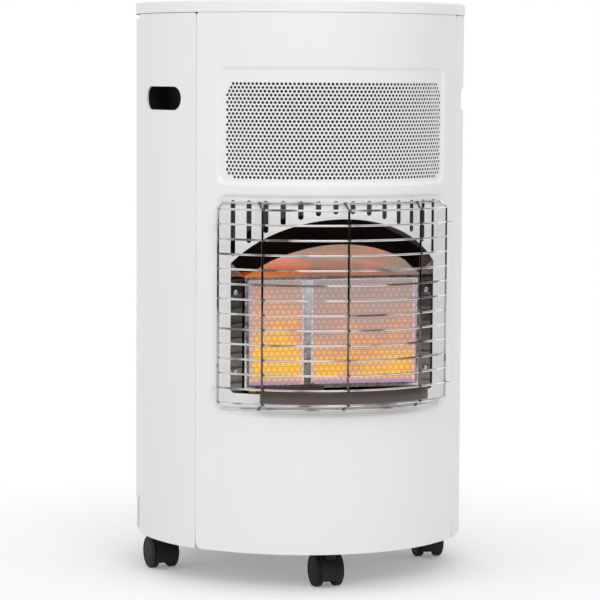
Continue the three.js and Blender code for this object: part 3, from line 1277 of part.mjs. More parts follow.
// ---- Castors ------------------------------------------------------------------------------------
// Drawn with the pin at the origin and the wheels trailing towards +Y.
function castorHood() {
  const axle = point(CASTOR_TRAIL, WHEEL_RADIUS);
  const inner = WHEEL_RADIUS + HOOD_PLAY;
  const outer = inner + HOOD_SKIN;
  const half = CASTOR_WEB / 2 + CASTOR_PLAY + WHEEL_WIDTH - HOOD_SET;
  const skin = [...arc(axle, outer, HOOD_BACK_HEADING, HOOD_FRONT_HEADING, CASTOR_STEPS),
    ...arc(axle, inner, HOOD_BACK_HEADING, HOOD_FRONT_HEADING, CASTOR_STEPS).reverse()];
  const archTurn = Math.acos((WHEEL_RADIUS - CASTOR_ARCH) / inner) * THREE.MathUtils.RAD2DEG;
  const web = arc(axle, inner + HOOD_SKIN / 2, archTurn, 360 - archTurn, CASTOR_STEPS);
  const top = axle.y + Math.sqrt(outer ** 2 - CASTOR_TRAIL ** 2);
  const collar = rod(0, 0, PIN_COLLAR_RADIUS, top - 2 * HOOD_SKIN, TRAY_FLOOR - FIT, 12);
  const pin = rod(0, 0, PIN_RADIUS, top, FLOOR_TOP + CASTOR_BOSS_HEIGHT, 12);
  const bore = alongX(circle(axle, AXLE_RADIUS + FIT, 12), -half, half);
  const middle = alongX(web, -CASTOR_WEB / 2, CASTOR_WEB / 2);
  return cut(joined([alongX(skin, -half, half), middle, collar, pin]), [bore]);
}

function castorAxle() {
  const half = CASTOR_WEB / 2 + CASTOR_PLAY + WHEEL_WIDTH - WHEEL_FACE - FIT;
  return alongX(circle(point(CASTOR_TRAIL, WHEEL_RADIUS), AXLE_RADIUS, 12), -half, half);
}

function castorWheel() {
  const start = CASTOR_WEB / 2 + CASTOR_PLAY;
  const end = start + WHEEL_WIDTH;
  const bore = AXLE_RADIUS + FIT;
  return turned([
    [0, end - WHEEL_FACE], [bore, end - WHEEL_FACE], [bore, start], [WHEEL_RADIUS - WHEEL_EDGE, start],
    [WHEEL_RADIUS, start + WHEEL_EDGE], [WHEEL_RADIUS, end - WHEEL_SHOULDER],
    [WHEEL_RADIUS - WHEEL_SHOULDER, end], [0, end],
  ], WHEEL_SEGMENTS).rotateY(Math.PI / 2).translate(0, CASTOR_TRAIL, WHEEL_RADIUS);
}

function addCastors() {
  const wheel = castorWheel();
  const pieces = [
    ['hood', castorHood(), BLACK_PLASTIC],
    ['axle', castorAxle(), BRIGHT_STEEL],
    ['left_wheel', mirrored(wheel), RUBBER],
    ['right_wheel', wheel, RUBBER],
  ];
  Object.entries(CASTOR_STEMS).forEach(([name, [x, y, turn]]) => {
    pieces.forEach(([piece, geometry, finish]) => {
      const placed = geometry.clone().rotateZ(degToRad(turn)).translate(x, y, 0);
      addPiece(`${name}_castor_${piece}`, placed, finish);
    });
  });
}

addBaseTray();
addFrontShell();
addSidePanels();
addGripCups();
addLid();
addControlPanel();
addRearCover();
addHeatShield();
addBurnerHousing();
addPlaques();
addBurnerFrame();
addReflectorHood();
addSideReflectors();
addReflectorScrews();
addCornerReflectors();
addReflectorTray();
addDeflectorBar();
addWireGuard();
addPilotBurner();
addPilotProbes();
addGasValve();
addKnobAndStem();
addIgniter();
addPipes();
addCastors();

export default heater;
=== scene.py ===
"""Portable gas cabinet heater, dressed over its CAD frame. Metres, +Z up, the fire faces -Y."""

import json
from math import asin, cos, degrees, pi, radians, sin, sqrt

import bpy
from mathutils import Matrix, Vector


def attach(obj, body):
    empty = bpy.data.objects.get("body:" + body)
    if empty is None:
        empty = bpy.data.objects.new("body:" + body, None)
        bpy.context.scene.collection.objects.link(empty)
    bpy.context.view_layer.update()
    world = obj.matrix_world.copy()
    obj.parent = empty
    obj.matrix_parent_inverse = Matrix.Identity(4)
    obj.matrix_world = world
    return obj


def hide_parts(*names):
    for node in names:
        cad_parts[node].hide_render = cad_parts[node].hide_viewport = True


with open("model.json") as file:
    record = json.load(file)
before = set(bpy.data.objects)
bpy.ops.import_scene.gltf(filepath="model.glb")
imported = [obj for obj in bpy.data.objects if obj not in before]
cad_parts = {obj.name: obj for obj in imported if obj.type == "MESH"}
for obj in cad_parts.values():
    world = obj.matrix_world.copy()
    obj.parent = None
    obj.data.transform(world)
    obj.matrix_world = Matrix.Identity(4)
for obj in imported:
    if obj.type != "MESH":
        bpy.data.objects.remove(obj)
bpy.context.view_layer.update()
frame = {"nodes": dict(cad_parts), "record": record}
MESH = bpy.ops.mesh

MM = 0.001
SHEET = 1.0
SHEET_SMOOTH, MOULDING_SMOOTH = 14, 35

# The cabinet seen from above, in millimetres; a heading is a direction of travel, anticlockwise.
FRONT_RADIUS = 207.0
FRONT_CENTRE = (0.0, -3.0)
FRONT_HEADING = 43.0
TAIL = 46.0
SIDE_HEADING = 56.0
SIDE_HALF_WIDTH = 219.0
SEAM_GAP = 0.8
COVER_GAP = 0.5
COVER_HALF_WIDTH = 218.5
COVER_BACK = 229.8
COVER_RADIUS = 205.0
LID_OVERHANG = 1.0

# Heights above the floor
SHELL_BOTTOM, SHELL_TOP = 49.0, 742.0
SIDE_TOP = 741.7
COVER_BOTTOM, COVER_TOP = 91.0, 736.0
LID_BASE, LID_TOP = 742.3, 757.0

# Flanges at the upright edges of the sheets: depth, bottom, top
FRONT_FLANGE, SIDE_FLANGE, COVER_FLANGE = (13, 71.3, 732), (13, 71.3, 731), (8, 118, 726)

# Slots of the rear cover, and the hole of the lid: left, right, front, back, corner
COVER_SLOT_ROWS, COVER_SLOTS, COVER_SLOT_PITCH = (130, 660), 11, 24
COVER_SLOT_HALF, COVER_SLOT_HEIGHT = 3.5, 34
LID_HOLE = (-90, 90, 125, 205, 10)
LID_RIM = 2.4

# Pressed panels: half length, bottom, top, lower and upper corner radius
VENT_PANEL = (172.0, 522.0, 674.0, 15.0, 15.0)
FIRE_PANEL = (172.0, 226.0, 511.0, 20.0, 15.0)
PRESS_DEPTH = 3.5
PRESS_SHAPE = ((-0.9, 0.0), (0.0, 0.12), (0.9, 0.6), (2.5, 1.75), (4.1, 2.9), (5.0, 3.38), (5.9, 3.5))

# Perforated field
HOLE_PITCH, ROW_PITCH, HOLE_RADIUS = 5.53, 4.763, 1.95
HOLE_ROWS, ROW_HOLES, LOWEST_ROW = 26, 58, 532.4
FIELD_MIDDLE = HOLE_PITCH / 2
FIELD_CORNER = 9.0
VENT_SHEET = 0.7

# Hand slots: middle along the panel and up, length, height; depth of the lip, reach of the slot's edge
HAND_S, HAND_Z, HAND_LENGTH, HAND_HEIGHT = 73.0, 631.6, 89.0, 30.5
HAND_LIP, HAND_ZONE = 2.2, 56

# Fire opening and flue slots
FIRE_HALF, FIRE_BOTTOM, FIRE_APEX, ARCH_RADIUS = 152.0, 255.0, 480.0, 228.0
SILL_CORNER = 6
FLUE_SLOTS, FLUE_PITCH, FLUE_WIDTH, FLUE_TOP, FLUE_RISE = 14, 22.9, 7.0, 503.0, 6.5

# Plaques and the shield behind them
PLAQUE_BOTTOM, PLAQUE_TOP = 263, 400
PALE_COLUMNS, PALE_PITCH = (-40.3, -27.7, 109.6), 3.2
SHIELD_FACE = -88.0

# Wire guard
GUARD_CENTRE, GUARD_RADIUS, GUARD_HALF = (0.0, -39.0), 191.5, 153.0
GUARD_ROWS, GUARD_TOP, GUARD_PITCH, GUARD_WIRE = 14, 492.0, 19.1, 1.5
GUARD_WALL_TOP, GUARD_WALL_BOTTOM = 500.0, 236.0
GUARD_TAIL, GUARD_LUG, LUG_ROWS, UPRIGHT_PITCH = 8, 7, (1, 12), 105.0

# Bends of the uprights at the top and the bottom row: inwards, up
UPPER_BENDS, LOWER_BENDS = ((4, 1.6), (1.2, 0.4), (0, -2)), ((0, 2), (1.2, -0.4), (4, -1.2))

# Castors: place of the pin, and the degrees that the castor stands turned
CASTORS = {"front": (-8.0, -177.0, 5.0), "left": (-186.5, 6.0, 10.0), "right": (186.5, 6.0, 0.0),
           "rear": (0.0, 182.0, 5.0)}
WHEEL_RADIUS, WHEEL_WIDTH, CASTOR_TRAIL = 22.0, 8.5, 15.0
CASTOR_WEB, CASTOR_PLAY, CASTOR_ARCH = 18.0, 0.5, 9.0
HOOD_INNER, HOOD_OUTER, HOOD_HALF = 22.8, 25.0, 14.5
HOOD_BACK, HOOD_FRONT = 115.0, 300.0
COLLAR_RADIUS, COLLAR_DEPTH, COLLAR_TOP = 8, 4.4, 50.7
PIN_RADIUS, PIN_TOP, AXLE_BORE = 4, 60.5, 3.3

# Insets of a wheel's outer and inner face: width, height
CAP_STEPS = ((0.9, 0.0), (0.5, -0.7), (0.9, 0.0), (0.4, 0.3), (9.0, 0.25))
BORE_STEPS = ((2.0, 0.0), (0.6, -1.2), (WHEEL_RADIUS - 0.9 - 2.6 - AXLE_BORE, 0.0), (0.01, -4.6))

# Camera: turn, rise and roll in degrees; distance, height and shift in metres; focal length in pixels
CAMERA_TURN, CAMERA_RISE, CAMERA_ROLL = -14.96, 4.74, 0.34
CAMERA_DISTANCE, CAMERA_HEIGHT, CAMERA_SHIFT = 3.696, 0.360, -0.00277
FOCAL_PIXELS, PICTURE_PIXELS, SENSOR = 2739, 600, 36


# ---- Plan lines ---------------------------------------------------------------------------------
def at_heading(centre, radius, heading):
    turn = radians(heading)
    return (centre[0] + radius * sin(turn), centre[1] - radius * cos(turn))


def arc(centre, radius, start, stop, steps):
    return [at_heading(centre, radius, start + (stop - start) * i / steps) for i in range(steps + 1)]


def direction(heading):
    return (cos(radians(heading)), sin(radians(heading)))


def moved(point, heading, distance):
    step = direction(heading)
    return (point[0] + step[0] * distance, point[1] + step[1] * distance)


def mirrored_points(points):
    return [(-x, y) for x, y in reversed(points)]


SEAM = moved(at_heading(FRONT_CENTRE, FRONT_RADIUS, FRONT_HEADING), FRONT_HEADING, TAIL)
SEAM_HEADING = (FRONT_HEADING + SIDE_HEADING) / 2
FRONT_END = moved(SEAM, SEAM_HEADING, -SEAM_GAP / 2)
SIDE_START = moved(SEAM, SEAM_HEADING, SEAM_GAP / 2)
SIDE_RADIUS = (SIDE_HALF_WIDTH - SEAM[0]) / (1 - sin(radians(SIDE_HEADING)))
REAR_SEAM_Y = SEAM[1] + SIDE_RADIUS * cos(radians(SIDE_HEADING))
SIDE_CENTRE = (SIDE_HALF_WIDTH - SIDE_RADIUS, REAR_SEAM_Y)
COVER_FRONT_Y = REAR_SEAM_Y + COVER_GAP


def front_line():
    end = [FRONT_END]
    return mirrored_points(end) + arc(FRONT_CENTRE, FRONT_RADIUS, -FRONT_HEADING, FRONT_HEADING, 90) + end


def side_line():
    return [SIDE_START] + arc(SIDE_CENTRE, SIDE_RADIUS, SIDE_HEADING, 90, 60)[1:]


def cover_line(inset=0.0, front_y=COVER_FRONT_Y):
    corner = (COVER_HALF_WIDTH - COVER_RADIUS, COVER_BACK - COVER_RADIUS)
    half = [(COVER_HALF_WIDTH - inset, front_y)] + arc(corner, COVER_RADIUS - inset, 90, 180, 40)
    return half + mirrored_points(half)


def lid_line(inset):
    side = arc(SIDE_CENTRE, SIDE_RADIUS + LID_OVERHANG - inset, SIDE_HEADING, 90, 24)[:-3]
    corner = radians((SIDE_HEADING - FRONT_HEADING) / 2)
    side[0] = moved(SEAM, SEAM_HEADING - 90, (LID_OVERHANG - inset) / cos(corner))
    front = arc(FRONT_CENTRE, FRONT_RADIUS + LID_OVERHANG - inset, -FRONT_HEADING, FRONT_HEADING, 72)
    rear = cover_line(inset - LID_OVERHANG)
    return mirrored_points(side) + front + side + rear


def length_of(points):
    return sum(sqrt((b[0] - a[0]) ** 2 + (b[1] - a[1]) ** 2) for a, b in zip(points, points[1:]))


# ---- Modelling helpers --------------------------------------------------------------------------
def deselect():
    if bpy.context.object and bpy.context.object.mode != "OBJECT":
        bpy.ops.object.mode_set(mode="OBJECT")
    bpy.ops.object.select_all(action="DESELECT")


def pick(*objects):
    deselect()
    for obj in objects:
        obj.select_set(True)
    bpy.context.view_layer.objects.active = objects[0]
    return objects[0]


def edit(obj, mode="VERT"):
    pick(obj)
    bpy.ops.object.mode_set(mode="EDIT")
    MESH.select_mode(type=mode)


def leave():
    bpy.ops.object.mode_set(mode="OBJECT")


def select(obj, mode, test):
    """Selects in edit mode the vertices, edges or faces whose centre passes the test."""
    edit(obj, mode)
    MESH.select_all(action="DESELECT")
    leave()
    mesh = obj.data
    if mode == "VERT":
        for v in mesh.vertices:
            v.select = test(v.co)
    elif mode == "EDGE":
        for e in mesh.edges:
            a, b = (mesh.vertices[i].co for i in e.vertices)
            e.select = test(a, b)
    else:
        for face in mesh.polygons:
            face.select = test(face)
    bpy.ops.object.mode_set(mode="EDIT")


def worked(obj, operator, mode="VERT", test=None, **values):
    """Runs a mesh operator on all of the object, or on what passes the test."""
    if test:
        select(obj, mode, test)
    else:
        edit(obj, mode)
        MESH.select_all(action="SELECT")
    operator(**values)
    leave()
    return obj


def select_rim(obj, test):
    """Selects in edit mode the open edges of a sheet that pass the test."""
    select(obj, "EDGE", lambda a, b: False)
    MESH.select_non_manifold(extend=False, use_wire=False, use_boundary=True, use_multi_face=False,
                             use_non_contiguous=False, use_verts=False)
    leave()
    for e in obj.data.edges:
        a, b = (obj.data.vertices[i].co for i in e.vertices)
        if e.select and not test(e, a, b):
            e.select = False
    bpy.ops.object.mode_set(mode="EDIT")


def apply_modifiers(obj):
    pick(obj)
    for modifier in list(obj.modifiers):
        bpy.ops.object.modifier_apply(modifier=modifier.name)
    return obj


def settle(obj):
    """Puts the object's place, turn and size into its mesh."""
    pick(obj)
    bpy.ops.object.transform_apply(location=True, rotation=True, scale=True)
    return obj


def plane(width, height, place=(0, 0, 0)):
    """An upright plane that faces the front, in millimetres."""
    deselect()
    MESH.primitive_plane_add(size=1, location=[v * MM for v in place], rotation=(pi / 2, 0, 0))
    obj = bpy.context.object
    obj.scale = (width * MM, height * MM, 1)
    return settle(obj)


def joined(name, objects):
    pick(*objects)
    if len(objects) > 1:
        bpy.ops.object.join()
    obj = bpy.context.object
    obj.name = obj.data.name = name
    return obj


def merged(obj, distance=1e-5, outward=True):
    worked(obj, MESH.remove_doubles, threshold=distance)
    if outward:
        worked(obj, MESH.normals_make_consistent, inside=False)
    return obj


def copied(obj, name):
    pick(obj)
    bpy.ops.object.duplicate(linked=False)
    twin = bpy.context.object
    twin.name = twin.data.name = name
    return twin


def mirrored(obj, name):
    twin = copied(obj, name)
    twin.scale.x = -1
    return worked(settle(twin), MESH.flip_normals)


def finished(obj, material, body, nodes=(), angle=32):
    pick(obj)
    bpy.ops.object.shade_smooth_by_angle(angle=radians(angle))
    obj.data.materials.clear()
    obj.data.materials.append(material)
    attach(obj, body)
    if nodes:
        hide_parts(*nodes)
    return obj


# ---- Flat drawing of a sheet: x along the plan line, z up, y into the cabinet --------------------
def rounded_loop(x0, x1, z0, z1, lower, upper, depth=0.0, segments=6, cuts=0):
    """An empty loop with rounded corners; its long edges may be cut into short ones."""
    loop = plane(x1 - x0, z1 - z0, ((x0 + x1) / 2, depth, (z0 + z1) / 2))
    middle = (z0 + z1) / 2 * MM
    for radius, test in ((lower, lambda co: co.z < middle), (upper, lambda co: co.z > middle)):
        worked(loop, MESH.bevel, "VERT", test, offset=radius * MM, segments=segments, affect="VERTICES")
    emptied(loop)
    if cuts:
        worked(loop, MESH.subdivide, "EDGE", lambda a, b: abs(a.x - b.x) > 30 * MM, number_cuts=cuts)
    return loop


def emptied(loop):
    return worked(loop, MESH.delete, "FACE", type="ONLY_FACE")


def filled(name, loops):
    """One face sheet between all the loops."""
    return worked(joined(name, loops), MESH.fill, "EDGE", use_beauty=True)


def press_band(panel):
    """The pressed edge of a panel, from the sheet down to the panel's floor."""
    half, bottom, top, lower, upper = panel
    rings = [rounded_loop(-half + o, half - o, bottom + o, top - o, lower - o, upper - o, depth, cuts=60)
             for o, depth in PRESS_SHAPE]
    bands = []
    for outer, inner in zip(rings, rings[1:]):
        pair = joined("press_ring", [copied(outer, "outer_ring"), copied(inner, "inner_ring")])
        bands.append(worked(pair, MESH.bridge_edge_loops, "EDGE"))
    for ring in rings[1:-1]:
        bpy.data.objects.remove(ring)
    return rings[0], rings[-1], joined("press_band", bands)


def arch_height(s):
    return FIRE_APEX - ARCH_RADIUS + sqrt(ARCH_RADIUS ** 2 - s ** 2)


def fire_loop():
    """The arched opening: a disc cut off at both sides and at the sill."""
    deselect()
    MESH.primitive_circle_add(
        vertices=180, radius=ARCH_RADIUS * MM, fill_type="NGON", rotation=(pi / 2, 0, 0),
        location=(0, PRESS_DEPTH * MM, (FIRE_APEX - ARCH_RADIUS) * MM))
    opening = settle(bpy.context.object)
    cuts = (((FIRE_HALF * MM, 0, 0), (1, 0, 0)), ((-FIRE_HALF * MM, 0, 0), (-1, 0, 0)),
            ((0, 0, FIRE_BOTTOM * MM), (0, 0, -1)))
    for place, normal in cuts:
        worked(opening, MESH.bisect, plane_co=place, plane_no=normal, clear_outer=True)
    low, side = (FIRE_BOTTOM + 0.1) * MM, (FIRE_HALF - 0.1) * MM
    worked(opening, MESH.bevel, "VERT", lambda co: co.z < low and abs(co.x) > side,
           offset=SILL_CORNER * MM, segments=5, affect="VERTICES")
    return emptied(opening)


def flue_loops():
    half = FLUE_WIDTH / 2
    corner = half - 0.02
    places = [(i - (FLUE_SLOTS - 1) / 2) * FLUE_PITCH for i in range(FLUE_SLOTS)]
    return [rounded_loop(s - half, s + half, arch_height(s) + FLUE_RISE, FLUE_TOP, corner, corner,
                         PRESS_DEPTH, segments=8) for s in places]


def hole_cell():
    """One hole with the piece of sheet round it, its hole edge marked."""
    cell = emptied(plane(HOLE_PITCH, ROW_PITCH))
    worked(cell, MESH.subdivide, "EDGE", lambda a, b: abs(a.z - b.z) < 1e-6, number_cuts=3)
    worked(cell, MESH.subdivide, "EDGE", lambda a, b: abs(a.z - b.z) > 4 * MM, number_cuts=1)
    deselect()
    MESH.primitive_circle_add(vertices=12, radius=HOLE_RADIUS * MM, fill_type="NOTHING",
                                      rotation=(pi / 2, 0, 0))
    ring = worked(settle(bpy.context.object), MESH.mark_seam, "EDGE", clear=False)
    return worked(joined("hole_cell", [cell, ring]), MESH.bridge_edge_loops, "EDGE")


def arrayed(obj, count, step):
    modifier = obj.modifiers.new("array", "ARRAY")
    modifier.count = count
    modifier.use_relative_offset = False
    modifier.use_constant_offset = True
    modifier.constant_offset_displace = step
    modifier.use_merge_vertices = True
    modifier.merge_threshold = 1e-5
    return apply_modifiers(obj)


def perforated_field():
    """Staggered rows of holes with the field's corners rounded off."""
    cell = hole_cell()
    rows = []
    for lift, count in ((1, ROW_HOLES), (0, ROW_HOLES + 1)):
        row = copied(cell, "hole_row")
        start = -(count - 1) / 2 * HOLE_PITCH
        row.location = ((start + FIELD_MIDDLE) * MM, PRESS_DEPTH * MM, (LOWEST_ROW + lift * ROW_PITCH) * MM)
        rows.append(arrayed(settle(row), count, (HOLE_PITCH * MM, 0, 0)))
    bpy.data.objects.remove(cell)
    field = joined("perforated_field", rows)
    arrayed(field, HOLE_ROWS // 2, (0, 0, 2 * ROW_PITCH * MM))
    merged(field, outward=False)
    top = LOWEST_ROW + (HOLE_ROWS - 1) * ROW_PITCH
    centre_x = ROW_HOLES / 2 * HOLE_PITCH - FIELD_CORNER

    def in_corner(face):
        x, z = face.center.x / MM - FIELD_MIDDLE, face.center.z / MM
        for centre_z, side in ((LOWEST_ROW + FIELD_CORNER, -1), (top - FIELD_CORNER, 1)):
            row = round((z - LOWEST_ROW) / ROW_PITCH)
            first = (ROW_HOLES / 2) if row % 2 == 0 else (ROW_HOLES - 1) / 2
            column = round(x / HOLE_PITCH + first)
            past_x = abs((column - first) * HOLE_PITCH) - centre_x
            past_z = (LOWEST_ROW + row * ROW_PITCH - centre_z) * side
            if past_x > 0 and past_z > 0 and past_x ** 2 + past_z ** 2 > (FIELD_CORNER + 0.5) ** 2:
                return True
        return False

    return worked(field, MESH.delete, "FACE", in_corner, type="FACE")


def curve_of(name, outlines, dimensions="2D", closed=False):
    """A curve with straight runs through points in millimetres."""
    curve = bpy.data.curves.new(name, "CURVE")
    curve.dimensions = dimensions
    for outline in outlines:
        spline = curve.splines.new("POLY")
        spline.points.add(len(outline) - 1)
        spline.use_cyclic_u = closed
        for p, point in zip(spline.points, outline):
            x, y, z = (*point, 0)[:3]
            p.co = (x * MM, y * MM, z * MM, 1)
    obj = bpy.data.objects.new(name, curve)
    bpy.context.collection.objects.link(obj)
    return obj


def turned_to_mesh(obj):
    pick(obj)
    bpy.ops.object.convert(target="MESH")
    return bpy.context.object


def laid_on(obj, line, shift=0.0):
    """Bends the flat sheet along the plan line."""
    guide = curve_of("plan_line", [line])
    obj.location.x = shift * MM
    settle(obj)
    modifier = obj.modifiers.new("lay", "CURVE")
    modifier.object = guide
    modifier.deform_axis = "POS_X"
    apply_modifiers(obj)
    bpy.data.objects.remove(guide)
    return obj


def creased(obj, x0, x1, step, holes=False):
    """Cuts the flat sheet, apart from its field of holes, into strips that can take a round form."""
    top = LOWEST_ROW + (HOLE_ROWS - 0.5) * ROW_PITCH
    bottom = LOWEST_ROW - 0.5 * ROW_PITCH
    reach = (ROW_HOLES + 1.5) / 2 * HOLE_PITCH

    def in_field(face):
        x, z = face.center.x / MM - FIELD_MIDDLE, face.center.z / MM
        return (holes and bottom < z < top and abs(x) < reach and len(face.vertices) == 4
                and face.area < 3 * MM * MM)

    worked(obj, MESH.hide, "FACE", in_field, unselected=False)
    count = int((x1 - x0) / step)
    for i in range(1, count):
        place = ((x0 + (x1 - x0) * i / count) * MM, 0, 0)
        worked(obj, MESH.bisect, plane_co=place, plane_no=(1, 0, 0), threshold=1e-6)
    edit(obj)
    MESH.reveal(select=False)
    leave()
    return obj


def facing_front(obj):
    """Turns the sheet's faces to the outside of the cabinet."""
    worked(obj, MESH.normals_make_consistent, "FACE", inside=False)
    if sum(face.normal.y * face.area for face in obj.data.polygons) > 0:
        worked(obj, MESH.flip_normals, "FACE")
    return obj


def flanged(obj, xs, depth, low, high):
    """Folds a flange into the cabinet along the upright edges at the given places."""
    for z in (low, high):
        worked(obj, MESH.bisect, plane_co=(0, 0, z * MM), plane_no=(0, 0, 1), threshold=1e-6)
    for x in xs:
        def at_edge(a, b):
            upright = abs(a.x - x * MM) < 1e-5 and abs(b.x - x * MM) < 1e-5
            return upright and min(a.z, b.z) > (low - 0.1) * MM and max(a.z, b.z) < (high + 0.1) * MM

        worked(obj, MESH.extrude_edges_move, "EDGE", at_edge,
               TRANSFORM_OT_translate={"value": (0, depth * MM, 0)})


def bevelled(obj, width, segments, angle):
    bevel = obj.modifiers.new("edge", "BEVEL")
    bevel.width = width * MM
    bevel.segments = segments
    bevel.limit_method = "ANGLE"
    bevel.angle_limit = radians(angle)
    return apply_modifiers(obj)


def thickened(obj, thickness=SHEET):
    modifier = obj.modifiers.new("sheet", "SOLIDIFY")
    modifier.thickness = thickness * MM
    modifier.offset = -1
    modifier.use_even_offset = True
    return apply_modifiers(obj)


# ---- Cabinet ------------------------------------------------------------------------------------
def front_sheet():
    half = length_of(front_line()) / 2
    vent_rim, vent_floor, vent_band = press_band(VENT_PANEL)
    fire_rim, fire_floor, fire_band = press_band(FIRE_PANEL)
    edge = rounded_loop(-half, half, SHELL_BOTTOM, SHELL_TOP, 10, 4, cuts=72)
    field = perforated_field()
    skirt = filled("outer_sheet", [edge, vent_rim, fire_rim])
    fire = filled("fire_floor", [fire_floor, fire_loop(), *flue_loops()])
    border = vent_border(field, vent_floor)
    sheet = joined("front_sheet", [skirt, fire, vent_band, fire_band, border, field])
    merged(sheet, 2e-5)
    creased(sheet, -half, half, HOLE_PITCH, holes=True)
    facing_front(sheet)
    flanged(sheet, (-half, half), *FRONT_FLANGE)
    facing_front(sheet)
    laid_on(sheet, front_line(), half)
    return thickened(sheet, VENT_SHEET)


def vent_border(field, vent_floor):
    """The plain sheet between the field of holes and the pressed edge."""
    rim = copied(field, "field_rim")
    select_rim(rim, lambda e, a, b: not e.use_seam)
    MESH.select_all(action="INVERT")
    MESH.delete(type="EDGE")
    leave()
    return filled("vent_border", [rim, vent_floor])


def side_panel():
    line = side_line()
    length = length_of(line)
    edge = rounded_loop(0, length, SHELL_BOTTOM, SIDE_TOP, 4, 4, cuts=30)
    reach, rise = HAND_LENGTH / 2, HAND_HEIGHT / 2
    corner = rise - 0.02
    slot = rounded_loop(HAND_S - reach, HAND_S + reach, HAND_Z - rise, HAND_Z + rise, corner, corner,
                        segments=14, cuts=12)
    panel = filled("right_side_sheet", [edge, slot])
    merged(panel)
    creased(panel, 0, length, 5)
    facing_front(panel)
    middle = Vector((HAND_S * MM, 0, HAND_Z * MM))
    select_rim(panel, lambda e, a, b: ((a + b) / 2 - middle).length <= HAND_ZONE * MM)
    MESH.extrude_edges_move(TRANSFORM_OT_translate={"value": (0, HAND_LIP * MM, 0)})
    leave()
    flanged(panel, (0, length), *SIDE_FLANGE)
    facing_front(panel)
    laid_on(panel, line)
    return thickened(panel)


def rear_sheet():
    line = cover_line()
    length = length_of(line)
    edge = rounded_loop(0, length, COVER_BOTTOM, COVER_TOP, 12, 2, segments=1, cuts=110)
    half, corner, slots = COVER_SLOT_HALF, COVER_SLOT_HALF - 0.02, []
    for low in COVER_SLOT_ROWS:
        for i in range(COVER_SLOTS):
            s = length / 2 + (i - COVER_SLOTS // 2) * COVER_SLOT_PITCH
            slots.append(rounded_loop(s - half, s + half, low, low + COVER_SLOT_HEIGHT, corner, corner,
                                      segments=8))
    sheet = filled("rear_sheet", [edge, *slots])
    merged(sheet)
    creased(sheet, 0, length, 6)
    facing_front(sheet)
    flanged(sheet, (0, length), *COVER_FLANGE)
    facing_front(sheet)
    laid_on(sheet, line)
    return thickened(sheet)


def flat_face(name, outlines, z):
    """A level face with holes from closed outlines."""
    curve = curve_of(name, outlines, closed=True)
    curve.data.fill_mode = "BOTH"
    curve.location.z = z * MM
    return merged(settle(turned_to_mesh(curve)), outward=False)


def rounded_outline(x0, x1, y0, y1, radius, steps=8):
    corners = (((x1 - radius, y0 + radius), 0), ((x1 - radius, y1 - radius), 90),
               ((x0 + radius, y1 - radius), 180), ((x0 + radius, y0 + radius), 270))
    return [p for centre, start in corners for p in arc(centre, radius, start, start + 90, steps)]


def lid():
    """A pan turned over: level top, rounded rim, hem under it and a hole for the controls."""
    _, x1, y0, y1, _ = LID_HOLE
    top = flat_face("lid", [lid_line(0), rounded_outline(*LID_HOLE)], LID_TOP)
    edit(top, "FACE")
    MESH.select_all(action="SELECT")
    MESH.dissolve_limited(angle_limit=radians(1))
    MESH.normals_make_consistent(inside=False)
    leave()
    if top.data.polygons[0].normal.z < 0:
        worked(top, MESH.flip_normals, "FACE")

    def at_hole(p):
        return abs(p.x / MM) < x1 + 1 and y0 - 1 < p.y / MM < y1 + 1

    select_rim(top, lambda e, a, b: not (at_hole(a) and at_hole(b)))
    MESH.extrude_edges_move(TRANSFORM_OT_translate={"value": (0, 0, (LID_BASE - LID_TOP) * MM)})
    leave()
    bevelled(top, LID_RIM, 4, 50)
    return thickened(top)


# ---- Materials ----------------------------------------------------------------------------------
FLOAT, COLOUR, VECTOR = "NodeSocketFloat", "NodeSocketColor", "NodeSocketVector"

# Glow of the plaques in a dot and between dots, from their foot up; the plaques' glow painted on the hood as
# a reflection, from left to right
WARM_STOPS = ((0.0, (1.0, 0.55, 0.008)), (0.16, (1.0, 0.50, 0.015)), (0.38, (0.86, 0.38, 0.05)),
              (0.60, (0.58, 0.28, 0.17)), (0.80, (0.46, 0.28, 0.22)), (1.0, (0.36, 0.26, 0.23)))
COOL_STOPS = ((0.0, (0.80, 0.33, 0.12)), (0.40, (0.62, 0.30, 0.24)), (0.75, (0.42, 0.28, 0.26)),
              (1.0, (0.34, 0.27, 0.26)))
HOOD_PAINTED_GLOW_STOPS = ((0.0, (0.10, 0.07, 0.05)), (0.09, (0.14, 0.08, 0.05)), (0.14, (0.95, 0.16, 0.0)),
              (0.28, (0.90, 0.13, 0.0)), (0.37, (0.30, 0.12, 0.06)), (0.54, (0.40, 0.12, 0.06)),
              (0.68, (0.60, 0.11, 0.03)), (0.79, (0.16, 0.10, 0.06)), (1.0, (0.08, 0.06, 0.05)))
# Violet of the plaques' edges, pink of the pilot flame's glow painted on a plaque, pale dots
VIOLET, FLAME, PALE = (0.42, 0.27, 0.50), (1.0, 0.34, 0.42), (0.80, 0.76, 0.74)


def new_group(name, inputs, outputs):
    """A node group: its tree, what it is given and what it gives back."""
    tree = bpy.data.node_groups.new(name, "ShaderNodeTree")
    for label, kind, value in inputs:
        tree.interface.new_socket(label, in_out="INPUT", socket_type=kind).default_value = value
    for label, kind in outputs:
        tree.interface.new_socket(label, in_out="OUTPUT", socket_type=kind)
    return tree, tree.nodes.new("NodeGroupInput").outputs, tree.nodes.new("NodeGroupOutput").inputs


def feed(tree, socket, value):
    """Links an output to the socket, or sets a plain value on it."""
    if isinstance(value, bpy.types.NodeSocket):
        tree.links.new(value, socket)
    else:
        socket.default_value = value


def add_node(tree, kind, *feeds, **values):
    """A node whose first inputs are fed in order; the rest are settings or inputs by name."""
    node = tree.nodes.new(kind)
    for key, value in values.items():
        if hasattr(node, key):
            setattr(node, key, value)
        else:
            feed(tree, node.inputs[key.replace("_", " ")], value)
    for socket, value in zip(node.inputs, feeds):
        feed(tree, socket, value)
    return node


def maths(tree, operation, *feeds):
    return add_node(tree, "ShaderNodeMath", *feeds, operation=operation).outputs[0]


